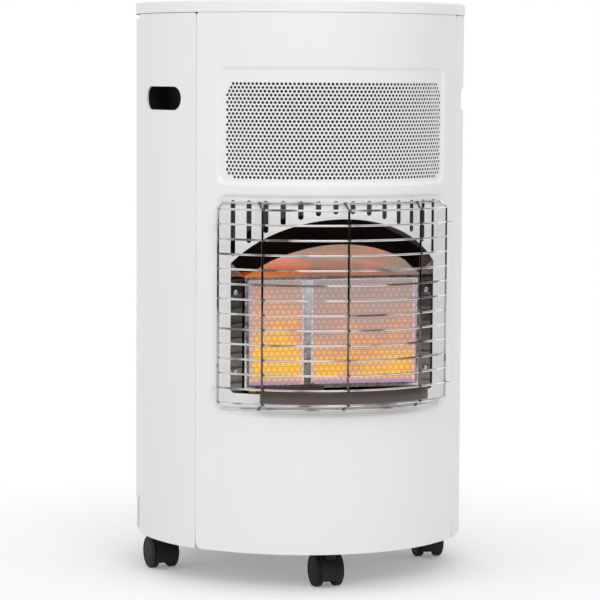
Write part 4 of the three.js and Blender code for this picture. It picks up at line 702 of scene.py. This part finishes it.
def chained(tree, operation, first, *others):
    """Joins values one after the other."""
    for other in others:
        first = maths(tree, operation, first, other)
    return first


def scaled(tree, vector, scale):
    return add_node(tree, "ShaderNodeVectorMath", vector, operation="SCALE", Scale=scale).outputs[0]


def magnitude(tree, vector):
    return add_node(tree, "ShaderNodeVectorMath", vector, operation="LENGTH").outputs["Value"]


def object_place(tree):
    return add_node(tree, "ShaderNodeTexCoord").outputs["Object"]


def spaces(material):
    """The material's nodes, the place on the object, and that place's three parts."""
    tree = material.node_tree
    place = object_place(tree)
    return tree, place, add_node(tree, "ShaderNodeSeparateXYZ", place).outputs


def noise(tree, place, **values):
    return add_node(tree, "ShaderNodeTexNoise", place, **values).outputs["Fac"]


def ranged(tree, source, low, high, from_low=0.0, from_high=1.0):
    return add_node(tree, "ShaderNodeMapRange", source, from_low, from_high, low, high).outputs["Result"]


def grouped(tree, group, **values):
    node = tree.nodes.new("ShaderNodeGroup")
    node.node_tree = group
    for key, value in values.items():
        feed(tree, node.inputs[key], value)
    return node.outputs


def blended(tree, amount, first, second):
    """Mixes two colours; either may be an output or a plain colour."""
    node = add_node(tree, "ShaderNodeMix", amount, data_type="RGBA")
    sockets = [s for s in node.inputs if s.type == "RGBA"]
    for value, socket in zip((first, second), sockets):
        feed(tree, socket, (*value, 1) if isinstance(value, tuple) else value)
    return [s for s in node.outputs if s.type == "RGBA"][0]


def ramped(tree, source, stops):
    node = add_node(tree, "ShaderNodeValToRGB", source)
    elements = node.color_ramp.elements
    while len(elements) < len(stops):
        elements.new(0.5)
    for element, (at, colour) in zip(elements, stops):
        element.position = at
        element.color = (*colour, 1)
    return node.outputs["Color"]


def mottle_group():
    """Varies a colour a little, lighter and darker, in soft patches."""
    tree, given, result = new_group("mottle", [("Colour", COLOUR, (0.8, 0.8, 0.8, 1)),
                                               ("Amount", FLOAT, 0.05), ("Size", FLOAT, 20.0)],
                                    [("Colour", COLOUR)])
    patches = noise(tree, object_place(tree), Scale=given["Size"], Detail=4.0, Roughness=0.55)
    low = maths(tree, "MULTIPLY_ADD", given["Amount"], -0.5, 1.0)
    lift = maths(tree, "MULTIPLY_ADD", ranged(tree, patches, 0.0, 1.0, 0.25, 0.75), given["Amount"], low)
    feed(tree, result["Colour"], scaled(tree, given["Colour"], lift))
    return tree


def grain_group():
    """Fine relief of a painted, moulded or cast surface."""
    tree, given, result = new_group("grain", [("Size", FLOAT, 800.0), ("Strength", FLOAT, 0.2)],
                                    [("Normal", VECTOR), ("Mask", FLOAT)])
    grains = noise(tree, object_place(tree), Scale=given["Size"], Detail=2.0, Roughness=0.5)
    bump = add_node(tree, "ShaderNodeBump", Strength=given["Strength"], Distance=0.0002, Height=grains)
    feed(tree, result["Normal"], bump.outputs["Normal"])
    feed(tree, result["Mask"], grains)
    return tree


def hexagon_group():
    """Round dots in a hexagonal pattern over X and Z: one in a dot's middle, nought between dots."""
    tree, given, result = new_group("hexagon_dots", [("Place", VECTOR, (0, 0, 0)), ("Pitch", FLOAT, 2.6)],
                                    [("Mask", FLOAT)])
    place = scaled(tree, given["Place"], maths(tree, "DIVIDE", 4 * pi / sqrt(3) / MM, given["Pitch"]))
    waves = []
    for turn in (0, 60, 120):
        across = (sin(radians(turn)), 0, cos(radians(turn)))
        along = add_node(tree, "ShaderNodeVectorMath", place, across, operation="DOT_PRODUCT")
        waves.append(maths(tree, "COSINE", along.outputs["Value"]))
    feed(tree, result["Mask"], ranged(tree, chained(tree, "ADD", *waves), 0.0, 1.0, -0.9, 2.4))
    return tree


MOTTLE, GRAIN, HEXAGONS = mottle_group(), grain_group(), hexagon_group()


def set_surface(material, values):
    for key, value in values.items():
        feed(material.node_tree, material.node_tree.nodes["Principled BSDF"].inputs[key], value)


def base_of(material):
    return material.node_tree.nodes["Principled BSDF"].inputs["Base Color"].links[0].from_socket


def coat_of(name, colour, rough, metallic=0.0, amount=0.05, patch=18.0, grain=900.0, relief=0.15, gloss=0.5):
    """A finish with patchy colour and roughness and a fine relief."""
    material = bpy.data.materials.new(name)
    material.use_nodes = True
    tree = material.node_tree
    fine = grouped(tree, GRAIN, Size=grain, Strength=relief)
    set_surface(material, {
        "Metallic": metallic, "Specular IOR Level": gloss, "Normal": fine["Normal"],
        "Base Color": grouped(tree, MOTTLE, Colour=(*colour, 1), Amount=amount, Size=patch)["Colour"],
        "Roughness": ranged(tree, fine["Mask"], *rough, 0.3, 0.7)})
    return material


def pale_columns(tree, across, up):
    """Columns of pale dots beside the divider and at the right edge of the plaques."""
    apart = [maths(tree, "ABSOLUTE", maths(tree, "SUBTRACT", across, x * MM)) for x in PALE_COLUMNS]
    beat = maths(tree, "COSINE", maths(tree, "MULTIPLY", up, 2 * pi / (PALE_PITCH * MM)))
    return maths(tree, "MULTIPLY", ranged(tree, chained(tree, "MINIMUM", *apart), 1.0, 0.0, 0.0006, 0.0011),
                 ranged(tree, beat, 0.0, 1.0, -0.3, 0.4))


def glow_material():
    """Ceramic plaque: rows of pinholes, yellow at its foot, dull pink near its top, violet at its edges, with
    the pilot flame's glow painted on near its foot.
    """
    material = coat_of("glowing_ceramic", (0.16, 0.12, 0.10), (0.75, 0.9), amount=0.2, patch=60, grain=500,
                       relief=0.4)
    tree, place, parts = spaces(material)
    across, up = parts["X"], parts["Z"]
    height = ranged(tree, up, 0.0, 1.0, PLAQUE_BOTTOM * MM, PLAQUE_TOP * MM)
    boost = ranged(tree, across, 0.34, 0.0, -0.048, -0.034)
    cooler = ranged(tree, across, 0.10, 0.0, 0.02, 0.075)
    wander = ranged(tree, noise(tree, place, Scale=26.0, Detail=3.0), -0.16, 0.16, 0.32, 0.68)
    level = chained(tree, "ADD", maths(tree, "SUBTRACT", height, boost), cooler, wander)
    fine, wide = (grouped(tree, HEXAGONS, Place=place, Pitch=pitch)["Mask"] for pitch in (2.9, 7.8))
    lit = maths(tree, "ADD", maths(tree, "MULTIPLY", fine, 0.75), maths(tree, "MULTIPLY", wide, 0.45))
    amount = maths(tree, "ADD", ranged(tree, lit, 0.0, 1.0, 0.1, 0.8),
                   ranged(tree, level, 0.6, 0.0, 0.0, 0.5))
    shown = blended(tree, amount, ramped(tree, level, COOL_STOPS), ramped(tree, level, WARM_STOPS))
    foot = ranged(tree, up, 1.0, 0.0, 0.266, 0.275)
    left = ranged(tree, across, 0.8, 0.0, -0.112, -0.1035)
    right = ranged(tree, across, 0.0, 0.7, 0.1045, 0.112)
    beside = maths(tree, "MULTIPLY", ranged(tree, across, 0.0, 0.6, -0.046, -0.039),
                   ranged(tree, across, 1.0, 0.0, -0.0295, -0.021))
    shown = blended(tree, chained(tree, "MAXIMUM", foot, beside, left, right), shown, VIOLET)
    # Painted glow of the pilot flame, a small pink patch just above the plaque's foot
    flame = chained(tree, "MULTIPLY", ranged(tree, across, 0.0, 1.0, -0.046, -0.040),
                    ranged(tree, across, 1.0, 0.0, -0.036, -0.030), ranged(tree, up, 1.0, 0.0, 0.266, 0.277))
    shown = blended(tree, flame, shown, FLAME)
    shown = blended(tree, pale_columns(tree, across, up), shown, PALE)
    set_surface(material, {"Emission Color": scaled(tree, shown, ranged(tree, lit, 0.62, 1.30, 0.05, 0.9)),
                           "Emission Strength": 0.92})
    return material


def hood_tint_and_painted_glow_material():
    """Polished sheet over the plaques, straw and brown from heat; the plaques' orange glow and dots are
    painted into its emission as a reflection.
    """
    material = coat_of("tinted_sheet_painted_glow", (0.42, 0.33, 0.29), (0.14, 0.24), 1.0, 0.08, 30, 160, 0.06)
    tree, place, parts = spaces(material)
    wander = ranged(tree, noise(tree, place, Scale=22.0, Detail=3.0), -0.025, 0.025, 0.3, 0.7)
    level = ranged(tree, maths(tree, "ADD", parts["X"], wander), 0.0, 1.0, -0.15, 0.15)
    dots = grouped(tree, HEXAGONS, Place=place, Pitch=3.4)["Mask"]
    # Painted reflection of the plaques: bands of orange glow across the hood and their dots, given as
    # emission
    shown = scaled(tree, ramped(tree, level, HOOD_PAINTED_GLOW_STOPS), ranged(tree, dots, 0.78, 1.15))
    set_surface(material, {"Emission Color": shown, "Emission Strength": 0.50})
    return material


def shade_painted_sheet_material():
    """Sheet behind the front: near black inside the arch as painted shade of the fire box, bare grey behind
    the slots.
    """
    # The near-black colour is painted shade of the dark space inside the cabinet
    material = coat_of("shade_painted_sheet", (0.010, 0.008, 0.007), (0.55, 0.75), 0.0, 0.4, 30, 700, 0.25, 0.1)
    tree, place, parts = spaces(material)
    flat = add_node(tree, "ShaderNodeVectorMath", place, (1, 0, 1), (0, 0, -(FIRE_APEX - ARCH_RADIUS) * MM),
                    operation="MULTIPLY_ADD").outputs[0]
    outside = ranged(tree, magnitude(tree, flat), 0.0, 1.0, (ARCH_RADIUS - 1) * MM, (ARCH_RADIUS + 2) * MM)
    behind = ranged(tree, parts["Y"], 0.0, 1.0, (SHIELD_FACE + 0.2) * MM, (SHIELD_FACE + 0.8) * MM)
    bare = maths(tree, "MAXIMUM", outside, behind)
    set_surface(material, {"Base Color": blended(tree, bare, base_of(material), (0.16, 0.16, 0.16))})
    return material


def chrome_with_painted_reflections_material():
    """Bright plated wire with dark reflections painted along it, darkest on the uprights and darker at the
    outer corners.
    """
    material = coat_of("chrome_wire", (0.80, 0.80, 0.80), (0.04, 0.10), 1.0, 0.04, 30, 500, 0.04)
    tree, place, parts = spaces(material)
    stretched = add_node(tree, "ShaderNodeVectorMath", place, (1, 1, 2.2), operation="MULTIPLY").outputs[0]
    # Painted dark reflections: patches along the wires, and dark bands on the uprights and the outer corners
    dark = ranged(tree, noise(tree, stretched, Scale=13.0, Detail=2.0), 0.0, 0.85, 0.52, 0.62)
    half = UPRIGHT_PITCH * MM / 2
    upright = maths(tree, "ABSOLUTE", maths(tree, "WRAP", parts["X"], half, -half))
    outer = maths(tree, "SUBTRACT", maths(tree, "ABSOLUTE", parts["X"]), GUARD_HALF * MM)
    outer = maths(tree, "ABSOLUTE", outer)
    dark = chained(tree, "MAXIMUM", dark, ranged(tree, upright, 0.93, 0.0, 0.0019, 0.0023),
                   ranged(tree, outer, 0.5, 0.0, 0.0019, 0.0023))
    set_surface(material, {"Base Color": blended(tree, dark, base_of(material), (0.10, 0.09, 0.085))})
    return material


WHITE = coat_of("white_powder_coat", (0.88, 0.88, 0.878), (0.30, 0.40), amount=0.012, patch=6, grain=1400,
                relief=0.10)
GALVANISED = coat_of("galvanised_sheet", (0.52, 0.53, 0.54), (0.35, 0.55), 0.85, 0.16, 45, 260, 0.10)
POLISHED = coat_of("polished_sheet", (0.86, 0.83, 0.79), (0.07, 0.14), 1.0, 0.06, 12, 60, 0.10)
CHROME_WITH_PAINTED_REFLECTIONS = chrome_with_painted_reflections_material()
DARK = coat_of("dark_heat_finish", (0.115, 0.092, 0.084), (0.30, 0.42), 0.5, 0.25, 40, 700, 0.2)
SHADE_PAINTED_SHEET = shade_painted_sheet_material()
SMOKED = coat_of("heat_darkened_mirror", (0.205, 0.18, 0.165), (0.10, 0.18), 1.0, 0.20, 24, 70, 0.10)
BLACK = coat_of("black_moulding", (0.009, 0.009, 0.0095), (0.42, 0.56), 0.0, 0.15, 60, 1800, 0.35, gloss=0.3)
RUBBER = coat_of("castor_tyre", (0.012, 0.012, 0.0125), (0.50, 0.66), 0.0, 0.2, 80, 1500, 0.3, gloss=0.2)
BRASS = coat_of("brass", (0.70, 0.50, 0.20), (0.20, 0.34), 1.0, 0.12, 60, 900, 0.1)
RED = coat_of("red_button", (0.42, 0.02, 0.018), (0.22, 0.30), 0.0, 0.06, 60, 1800, 0.08)
PORCELAIN = coat_of("porcelain", (0.86, 0.84, 0.79), (0.18, 0.26), 0.0, 0.04, 90, 900, 0.06)
STEEL = coat_of("bright_steel", (0.72, 0.73, 0.74), (0.22, 0.34), 1.0, 0.10, 30, 120, 0.012)
TINT_AND_PAINTED_GLOW = hood_tint_and_painted_glow_material()
GLOW = glow_material()
SHEET_COATS = (GALVANISED, TINT_AND_PAINTED_GLOW, SMOKED, POLISHED, SHADE_PAINTED_SHEET)
BODY_OF = {node: body for body, nodes in frame["record"]["behaviour"]["bodies"].items() for node in nodes}

SLOT_MATERIALS = {
    "white_paint": WHITE, "galvanised_steel": GALVANISED, "polished_steel": POLISHED,
    "chrome_wire": CHROME_WITH_PAINTED_REFLECTIONS, "glowing_ceramic": GLOW, "dark_steel": DARK, "black_plastic": BLACK,
    "castor_rubber": RUBBER, "brass": BRASS, "porcelain": PORCELAIN, "bright_steel": STEEL,
    "red_plastic": RED,
}


def dress_nodes():
    for part in frame["record"]["subparts"]:
        obj = frame["nodes"][part["node"]]
        obj.data.materials.clear()
        obj.data.materials.append(SLOT_MATERIALS[part["material_slot"]])


# ---- Wire guard ---------------------------------------------------------------------------------
def wire(points):
    """A round wire along the points, in millimetres."""
    route = curve_of("wire", [points], "3D")
    route.data.bevel_depth = GUARD_WIRE * MM
    route.data.bevel_resolution = 3
    route.data.use_fill_caps = True
    return turned_to_mesh(route)


def guard_y(x, radius=GUARD_RADIUS):
    return GUARD_CENTRE[1] - sqrt(radius ** 2 - x ** 2)


WALL_RADIUS = FRONT_RADIUS - PRESS_DEPTH + GUARD_WIRE + 0.5


def wall_y(x):
    return FRONT_CENTRE[1] - sqrt(WALL_RADIUS ** 2 - x ** 2)


def guard_wires():
    turn = degrees(asin(GUARD_HALF / GUARD_RADIUS))
    bottom = GUARD_TOP - (GUARD_ROWS - 1) * GUARD_PITCH
    rows = [[(x, y, GUARD_TOP - i * GUARD_PITCH) for x, y in arc(GUARD_CENTRE, GUARD_RADIUS, -turn, turn, 48)]
            for i in range(GUARD_ROWS)]
    end = moved(at_heading(FRONT_CENTRE, WALL_RADIUS, FRONT_HEADING), FRONT_HEADING, GUARD_TAIL)
    wall = [(-end[0], end[1])] + arc(FRONT_CENTRE, WALL_RADIUS, -FRONT_HEADING, FRONT_HEADING, 48) + [end]
    walls = [[(x, y, z) for x, y in wall] for z in (GUARD_WALL_TOP, GUARD_WALL_BOTTOM)]
    uprights = []
    for x in (-UPRIGHT_PITCH, 0, UPRIGHT_PITCH):
        y = guard_y(x, GUARD_RADIUS - 2 * GUARD_WIRE + 0.6)
        uprights.append([(x, wall_y(x), GUARD_WALL_TOP),
                         *((x, y + inward, GUARD_TOP + rise) for inward, rise in UPPER_BENDS),
                         *((x, y + inward, bottom + rise) for inward, rise in LOWER_BENDS),
                         (x, wall_y(x), GUARD_WALL_BOTTOM)])
    corners = []
    for side in (-1, 1):
        x, y = side * GUARD_HALF, guard_y(GUARD_HALF)
        corners.append([(side * end[0], end[1], GUARD_WALL_TOP), (x, y, GUARD_TOP), (x, y, bottom),
                        (side * end[0], end[1], GUARD_WALL_BOTTOM)])
        for row in LUG_ROWS:
            z = GUARD_TOP - row * GUARD_PITCH
            corners.append([(x, y, z), (x + side * GUARD_LUG, y, z)])
    return joined("guard_wires", [wire(route) for route in rows + walls + uprights + corners])


# ---- Refined copies of CAD nodes ----------------------------------------------------------------
def refined(node, edge):
    """A copy of a CAD node with merged corners and softened edges."""
    source = frame["nodes"][node]
    twin = source.copy()
    twin.data = source.data.copy()
    twin.parent = None
    twin.matrix_world = source.matrix_world
    bpy.context.collection.objects.link(twin)
    twin.name = twin.data.name = node + "_soft"
    worked(settle(twin), MESH.remove_doubles, threshold=1e-6)
    worked(twin, MESH.dissolve_limited, angle_limit=radians(2))
    return bevelled(twin, edge, 2, 32)


def soften(node, edge, material):
    smooth = SHEET_SMOOTH if material in SHEET_COATS else MOULDING_SMOOTH
    finished(refined(node, edge), material, BODY_OF[node], [node], smooth)


# ---- Castors ------------------------------------------------------------------------------------
def disc(radius, depth, place=(0, 0, 0), vertices=72, upright=False):
    """A cylinder along X, or an upright one, in millimetres."""
    deselect()
    MESH.primitive_cylinder_add(
        vertices=vertices, radius=radius * MM, depth=depth * MM, location=[v * MM for v in place],
        rotation=(0, 0, 0) if upright else (0, pi / 2, 0))
    return settle(bpy.context.object)


def combined(obj, other, operation):
    modifier = obj.modifiers.new("with", "BOOLEAN")
    modifier.operation = operation
    modifier.object = other
    modifier.solver = "EXACT"
    apply_modifiers(obj)
    bpy.data.objects.remove(other)
    return obj


def hood_band():
    """The round skin over the wheels: a section with soft corners, spun about the axle."""
    band = plane(2 * HOOD_HALF, HOOD_OUTER - HOOD_INNER)
    worked(band, MESH.bevel, offset=0.9 * MM, segments=3, affect="VERTICES")
    band.location.z = -(HOOD_INNER + HOOD_OUTER) / 2 * MM
    settle(band)
    band.rotation_euler.x = radians(HOOD_BACK)
    worked(settle(band), MESH.spin, "FACE", steps=44, angle=-radians(HOOD_FRONT - HOOD_BACK),
           center=(0, 0, 0), axis=(1, 0, 0))
    return merged(band)


def castor_hood():
    web = disc((HOOD_INNER + HOOD_OUTER) / 2, CASTOR_WEB)
    worked(web, MESH.bisect, plane_co=(0, 0, (CASTOR_ARCH - WHEEL_RADIUS) * MM), plane_no=(0, 0, 1),
           clear_inner=True, use_fill=True)
    crown = sqrt(HOOD_OUTER ** 2 - CASTOR_TRAIL ** 2)
    foot, collar_top, pin_top = crown - COLLAR_DEPTH, COLLAR_TOP - WHEEL_RADIUS, PIN_TOP - WHEEL_RADIUS
    collar = disc(COLLAR_RADIUS, collar_top - foot, (0, -CASTOR_TRAIL, (collar_top + foot) / 2), 40, True)
    pin = disc(PIN_RADIUS, pin_top - crown, (0, -CASTOR_TRAIL, (pin_top + crown) / 2), 32, True)
    hood = combined(web, hood_band(), "UNION")
    for piece in (collar, pin):
        combined(hood, piece, "UNION")
    combined(hood, disc(AXLE_BORE, 60, vertices=32), "DIFFERENCE")
    hood.location = (0, CASTOR_TRAIL * MM, WHEEL_RADIUS * MM)
    return settle(hood)


def castor_wheel():
    """The right-hand wheel: soft shoulders, a sunk cap outside and a bore inside."""
    start = CASTOR_WEB / 2 + CASTOR_PLAY
    end = start + WHEEL_WIDTH
    wheel = disc(WHEEL_RADIUS, WHEEL_WIDTH, ((start + end) / 2, 0, 0))
    for x, width, segments in ((end, 1.9, 5), (start, 0.9, 3)):
        worked(wheel, MESH.bevel, "EDGE", lambda a, b: abs(a.x - x * MM) < 1e-6 and abs(b.x - x * MM) < 1e-6,
               offset=width * MM, segments=segments, affect="EDGES")
    for side, steps in ((1, CAP_STEPS), (-1, BORE_STEPS)):
        select(wheel, "FACE", lambda face: face.normal.x * side > 0.99 and len(face.vertices) > 40)
        for thickness, depth in steps:
            MESH.inset(thickness=thickness * MM, depth=depth * MM)
        leave()
    wheel.location = (0, CASTOR_TRAIL * MM, WHEEL_RADIUS * MM)
    return merged(settle(wheel), 1e-6)


def placed(obj, name, spot):
    twin = copied(obj, name)
    twin.rotation_euler.z = radians(spot[2])
    twin.location = (spot[0] * MM, spot[1] * MM, 0)
    return settle(twin)


def add_castors():
    right = castor_wheel()
    models = {"hood": (castor_hood(), BLACK), "right_wheel": (right, RUBBER),
              "left_wheel": (mirrored(right, "left_wheel_model"), RUBBER)}
    for name, spot in CASTORS.items():
        for kind, (model, material) in models.items():
            node = f"{name}_castor_{kind}"
            piece = placed(model, node + "_moulding", spot)
            finished(piece, material, BODY_OF[node], [node], 40)
    for model, _ in models.values():
        bpy.data.objects.remove(model)


# ---- Camera, stage and light --------------------------------------------------------------------
def add_camera():
    turn, rise, roll = radians(CAMERA_TURN), radians(CAMERA_RISE), radians(CAMERA_ROLL)
    right = Vector((cos(turn), sin(turn), 0))
    back = Vector((sin(turn) * cos(rise), -cos(turn) * cos(rise), sin(rise)))
    up = back.cross(right)
    place = Vector((0, 0, CAMERA_HEIGHT)) + right * CAMERA_SHIFT + back * CAMERA_DISTANCE
    tilted_right = right * cos(roll) + up * sin(roll)
    tilted_up = up * cos(roll) - right * sin(roll)
    data = bpy.data.cameras.new("camera")
    data.sensor_width = SENSOR
    data.lens = FOCAL_PIXELS / PICTURE_PIXELS * SENSOR
    data.clip_end = 50
    camera = bpy.data.objects.new("camera", data)
    axes = Matrix((tilted_right, tilted_up, back)).transposed().to_4x4()
    camera.matrix_world = Matrix.Translation(place) @ axes
    bpy.context.collection.objects.link(camera)
    bpy.context.scene.camera = camera


def floor_material():
    """A white floor to the camera and in mirrors, shaded near the middle, and a plain pale one otherwise."""
    material = bpy.data.materials.new("pale_floor")
    material.use_nodes = True
    tree = material.node_tree
    set_surface(material, {"Base Color": (0.8, 0.8, 0.8, 1), "Roughness": 0.9, "Specular IOR Level": 0.0})
    far = ranged(tree, magnitude(tree, object_place(tree)), 0.22, 1.0, 0.24, 0.80)
    white = add_node(tree, "ShaderNodeEmission", Color=(1, 1, 1, 1), Strength=far)
    near = scaled(tree, (1.04, 1.04, 1.04), ranged(tree, far, 1.0, 0.0))
    shaded = add_node(tree, "ShaderNodeBsdfDiffuse", Color=near)
    total = add_node(tree, "ShaderNodeAddShader", white.outputs[0], shaded.outputs[0])
    light = add_node(tree, "ShaderNodeLightPath").outputs
    seen = maths(tree, "MAXIMUM", light["Is Camera Ray"], light["Is Glossy Ray"])
    plain = tree.nodes["Principled BSDF"].outputs[0]
    mix = add_node(tree, "ShaderNodeMixShader", seen, plain, total.outputs[0])
    feed(tree, tree.nodes["Material Output"].inputs["Surface"], mix.outputs[0])
    return material


def add_stage():
    deselect()
    MESH.primitive_plane_add(size=16, location=(0, 0, 0))
    floor = bpy.context.object
    floor.name = "floor"
    floor.data.materials.append(floor_material())
    world = bpy.data.worlds.new("studio")
    world.use_nodes = True
    tree = world.node_tree
    light = add_node(tree, "ShaderNodeLightPath").outputs
    seen = chained(tree, "MAXIMUM", light["Is Camera Ray"], light["Is Glossy Ray"],
                   light["Is Transmission Ray"])
    background = tree.nodes["Background"].inputs
    feed(tree, background["Color"], (1, 1, 1, 1))
    feed(tree, background["Strength"], maths(tree, "MULTIPLY_ADD", seen, 0.30, 0.70))
    bpy.context.scene.world = world


def add_card():
    """A dark studio card in front, seen by mirrors only, as far up as a low ceiling."""
    deselect()
    MESH.primitive_cylinder_add(vertices=96, radius=3.2, depth=2.6, end_fill_type="NOTHING",
                                        location=(0, 0, 1.32))
    card = bpy.context.object
    card.name = "card"
    worked(card, MESH.delete, "FACE", lambda face: face.center.y > 0.6, type="FACE")
    material = bpy.data.materials.new("dark_card")
    material.use_nodes = True
    set_surface(material, {"Base Color": (0.02, 0.02, 0.02, 1), "Roughness": 1.0, "Specular IOR Level": 0.0})
    card.data.materials.append(material)
    for kind in ("camera", "diffuse", "transmission", "volume_scatter", "shadow"):
        setattr(card, "visible_" + kind, False)


def add_lamp(name, place, target, size, power):
    data = bpy.data.lights.new(name, "AREA")
    data.shape = "RECTANGLE"
    data.size, data.size_y = size
    data.energy = power
    lamp = bpy.data.objects.new(name, data)
    lamp.location = place
    lamp.rotation_euler = (Vector(target) - Vector(place)).to_track_quat("-Z", "Y").to_euler()
    bpy.context.collection.objects.link(lamp)


def add_lamps():
    add_lamp("key", (-0.3, -3.4, 2.6), (0, 0, 0.4), (2.4, 1.8), 46)
    add_lamp("fill", (-3.0, -0.6, 1.6), (0, 0, 0.4), (2.0, 2.0), 8)


# ---- Build --------------------------------------------------------------------------------------
bpy.context.scene.view_settings.view_transform = "Standard"
add_camera()
add_stage()
add_lamps()
add_card()
dress_nodes()

finished(front_sheet(), WHITE, "cabinet", ["front_shell"])
right_side = side_panel()
finished(right_side, WHITE, "cabinet", ["right_side_panel"])
finished(mirrored(right_side, "left_side_sheet"), WHITE, "cabinet", ["left_side_panel"])
finished(rear_sheet(), WHITE, "rear_cover", ["rear_cover"])
finished(lid(), WHITE, "cabinet", ["top_lid"], 40)
finished(guard_wires(), CHROME_WITH_PAINTED_REFLECTIONS, "cabinet", ["wire_guard"], 60)

add_castors()
for node, width, coat in (
        ("base_tray", 0.4, GALVANISED), ("right_grip_cup", 0.6, BLACK), ("left_grip_cup", 0.6, BLACK),
        ("control_panel", 0.8, BLACK), ("burner_frame", 0.3, STEEL), ("deflector_bar", 0.35, DARK),
        ("control_knob", 0.7, BLACK), ("piezo_igniter", 0.5, BLACK), ("ignition_button", 0.5, RED),
        ("gas_valve", 0.4, BRASS), ("reflector_hood", 0.15, TINT_AND_PAINTED_GLOW), ("right_corner_reflector", 0.2, TINT_AND_PAINTED_GLOW),
        ("left_corner_reflector", 0.2, TINT_AND_PAINTED_GLOW), ("right_side_reflector", 0.25, SMOKED),
        ("left_side_reflector", 0.25, SMOKED), ("reflector_tray", 0.2, POLISHED),
        ("pilot_burner", 0.2, DARK), ("heat_shield", 0.3, SHADE_PAINTED_SHEET), ("burner_housing", 0.3, GALVANISED)):
    soften(node, width, coat)
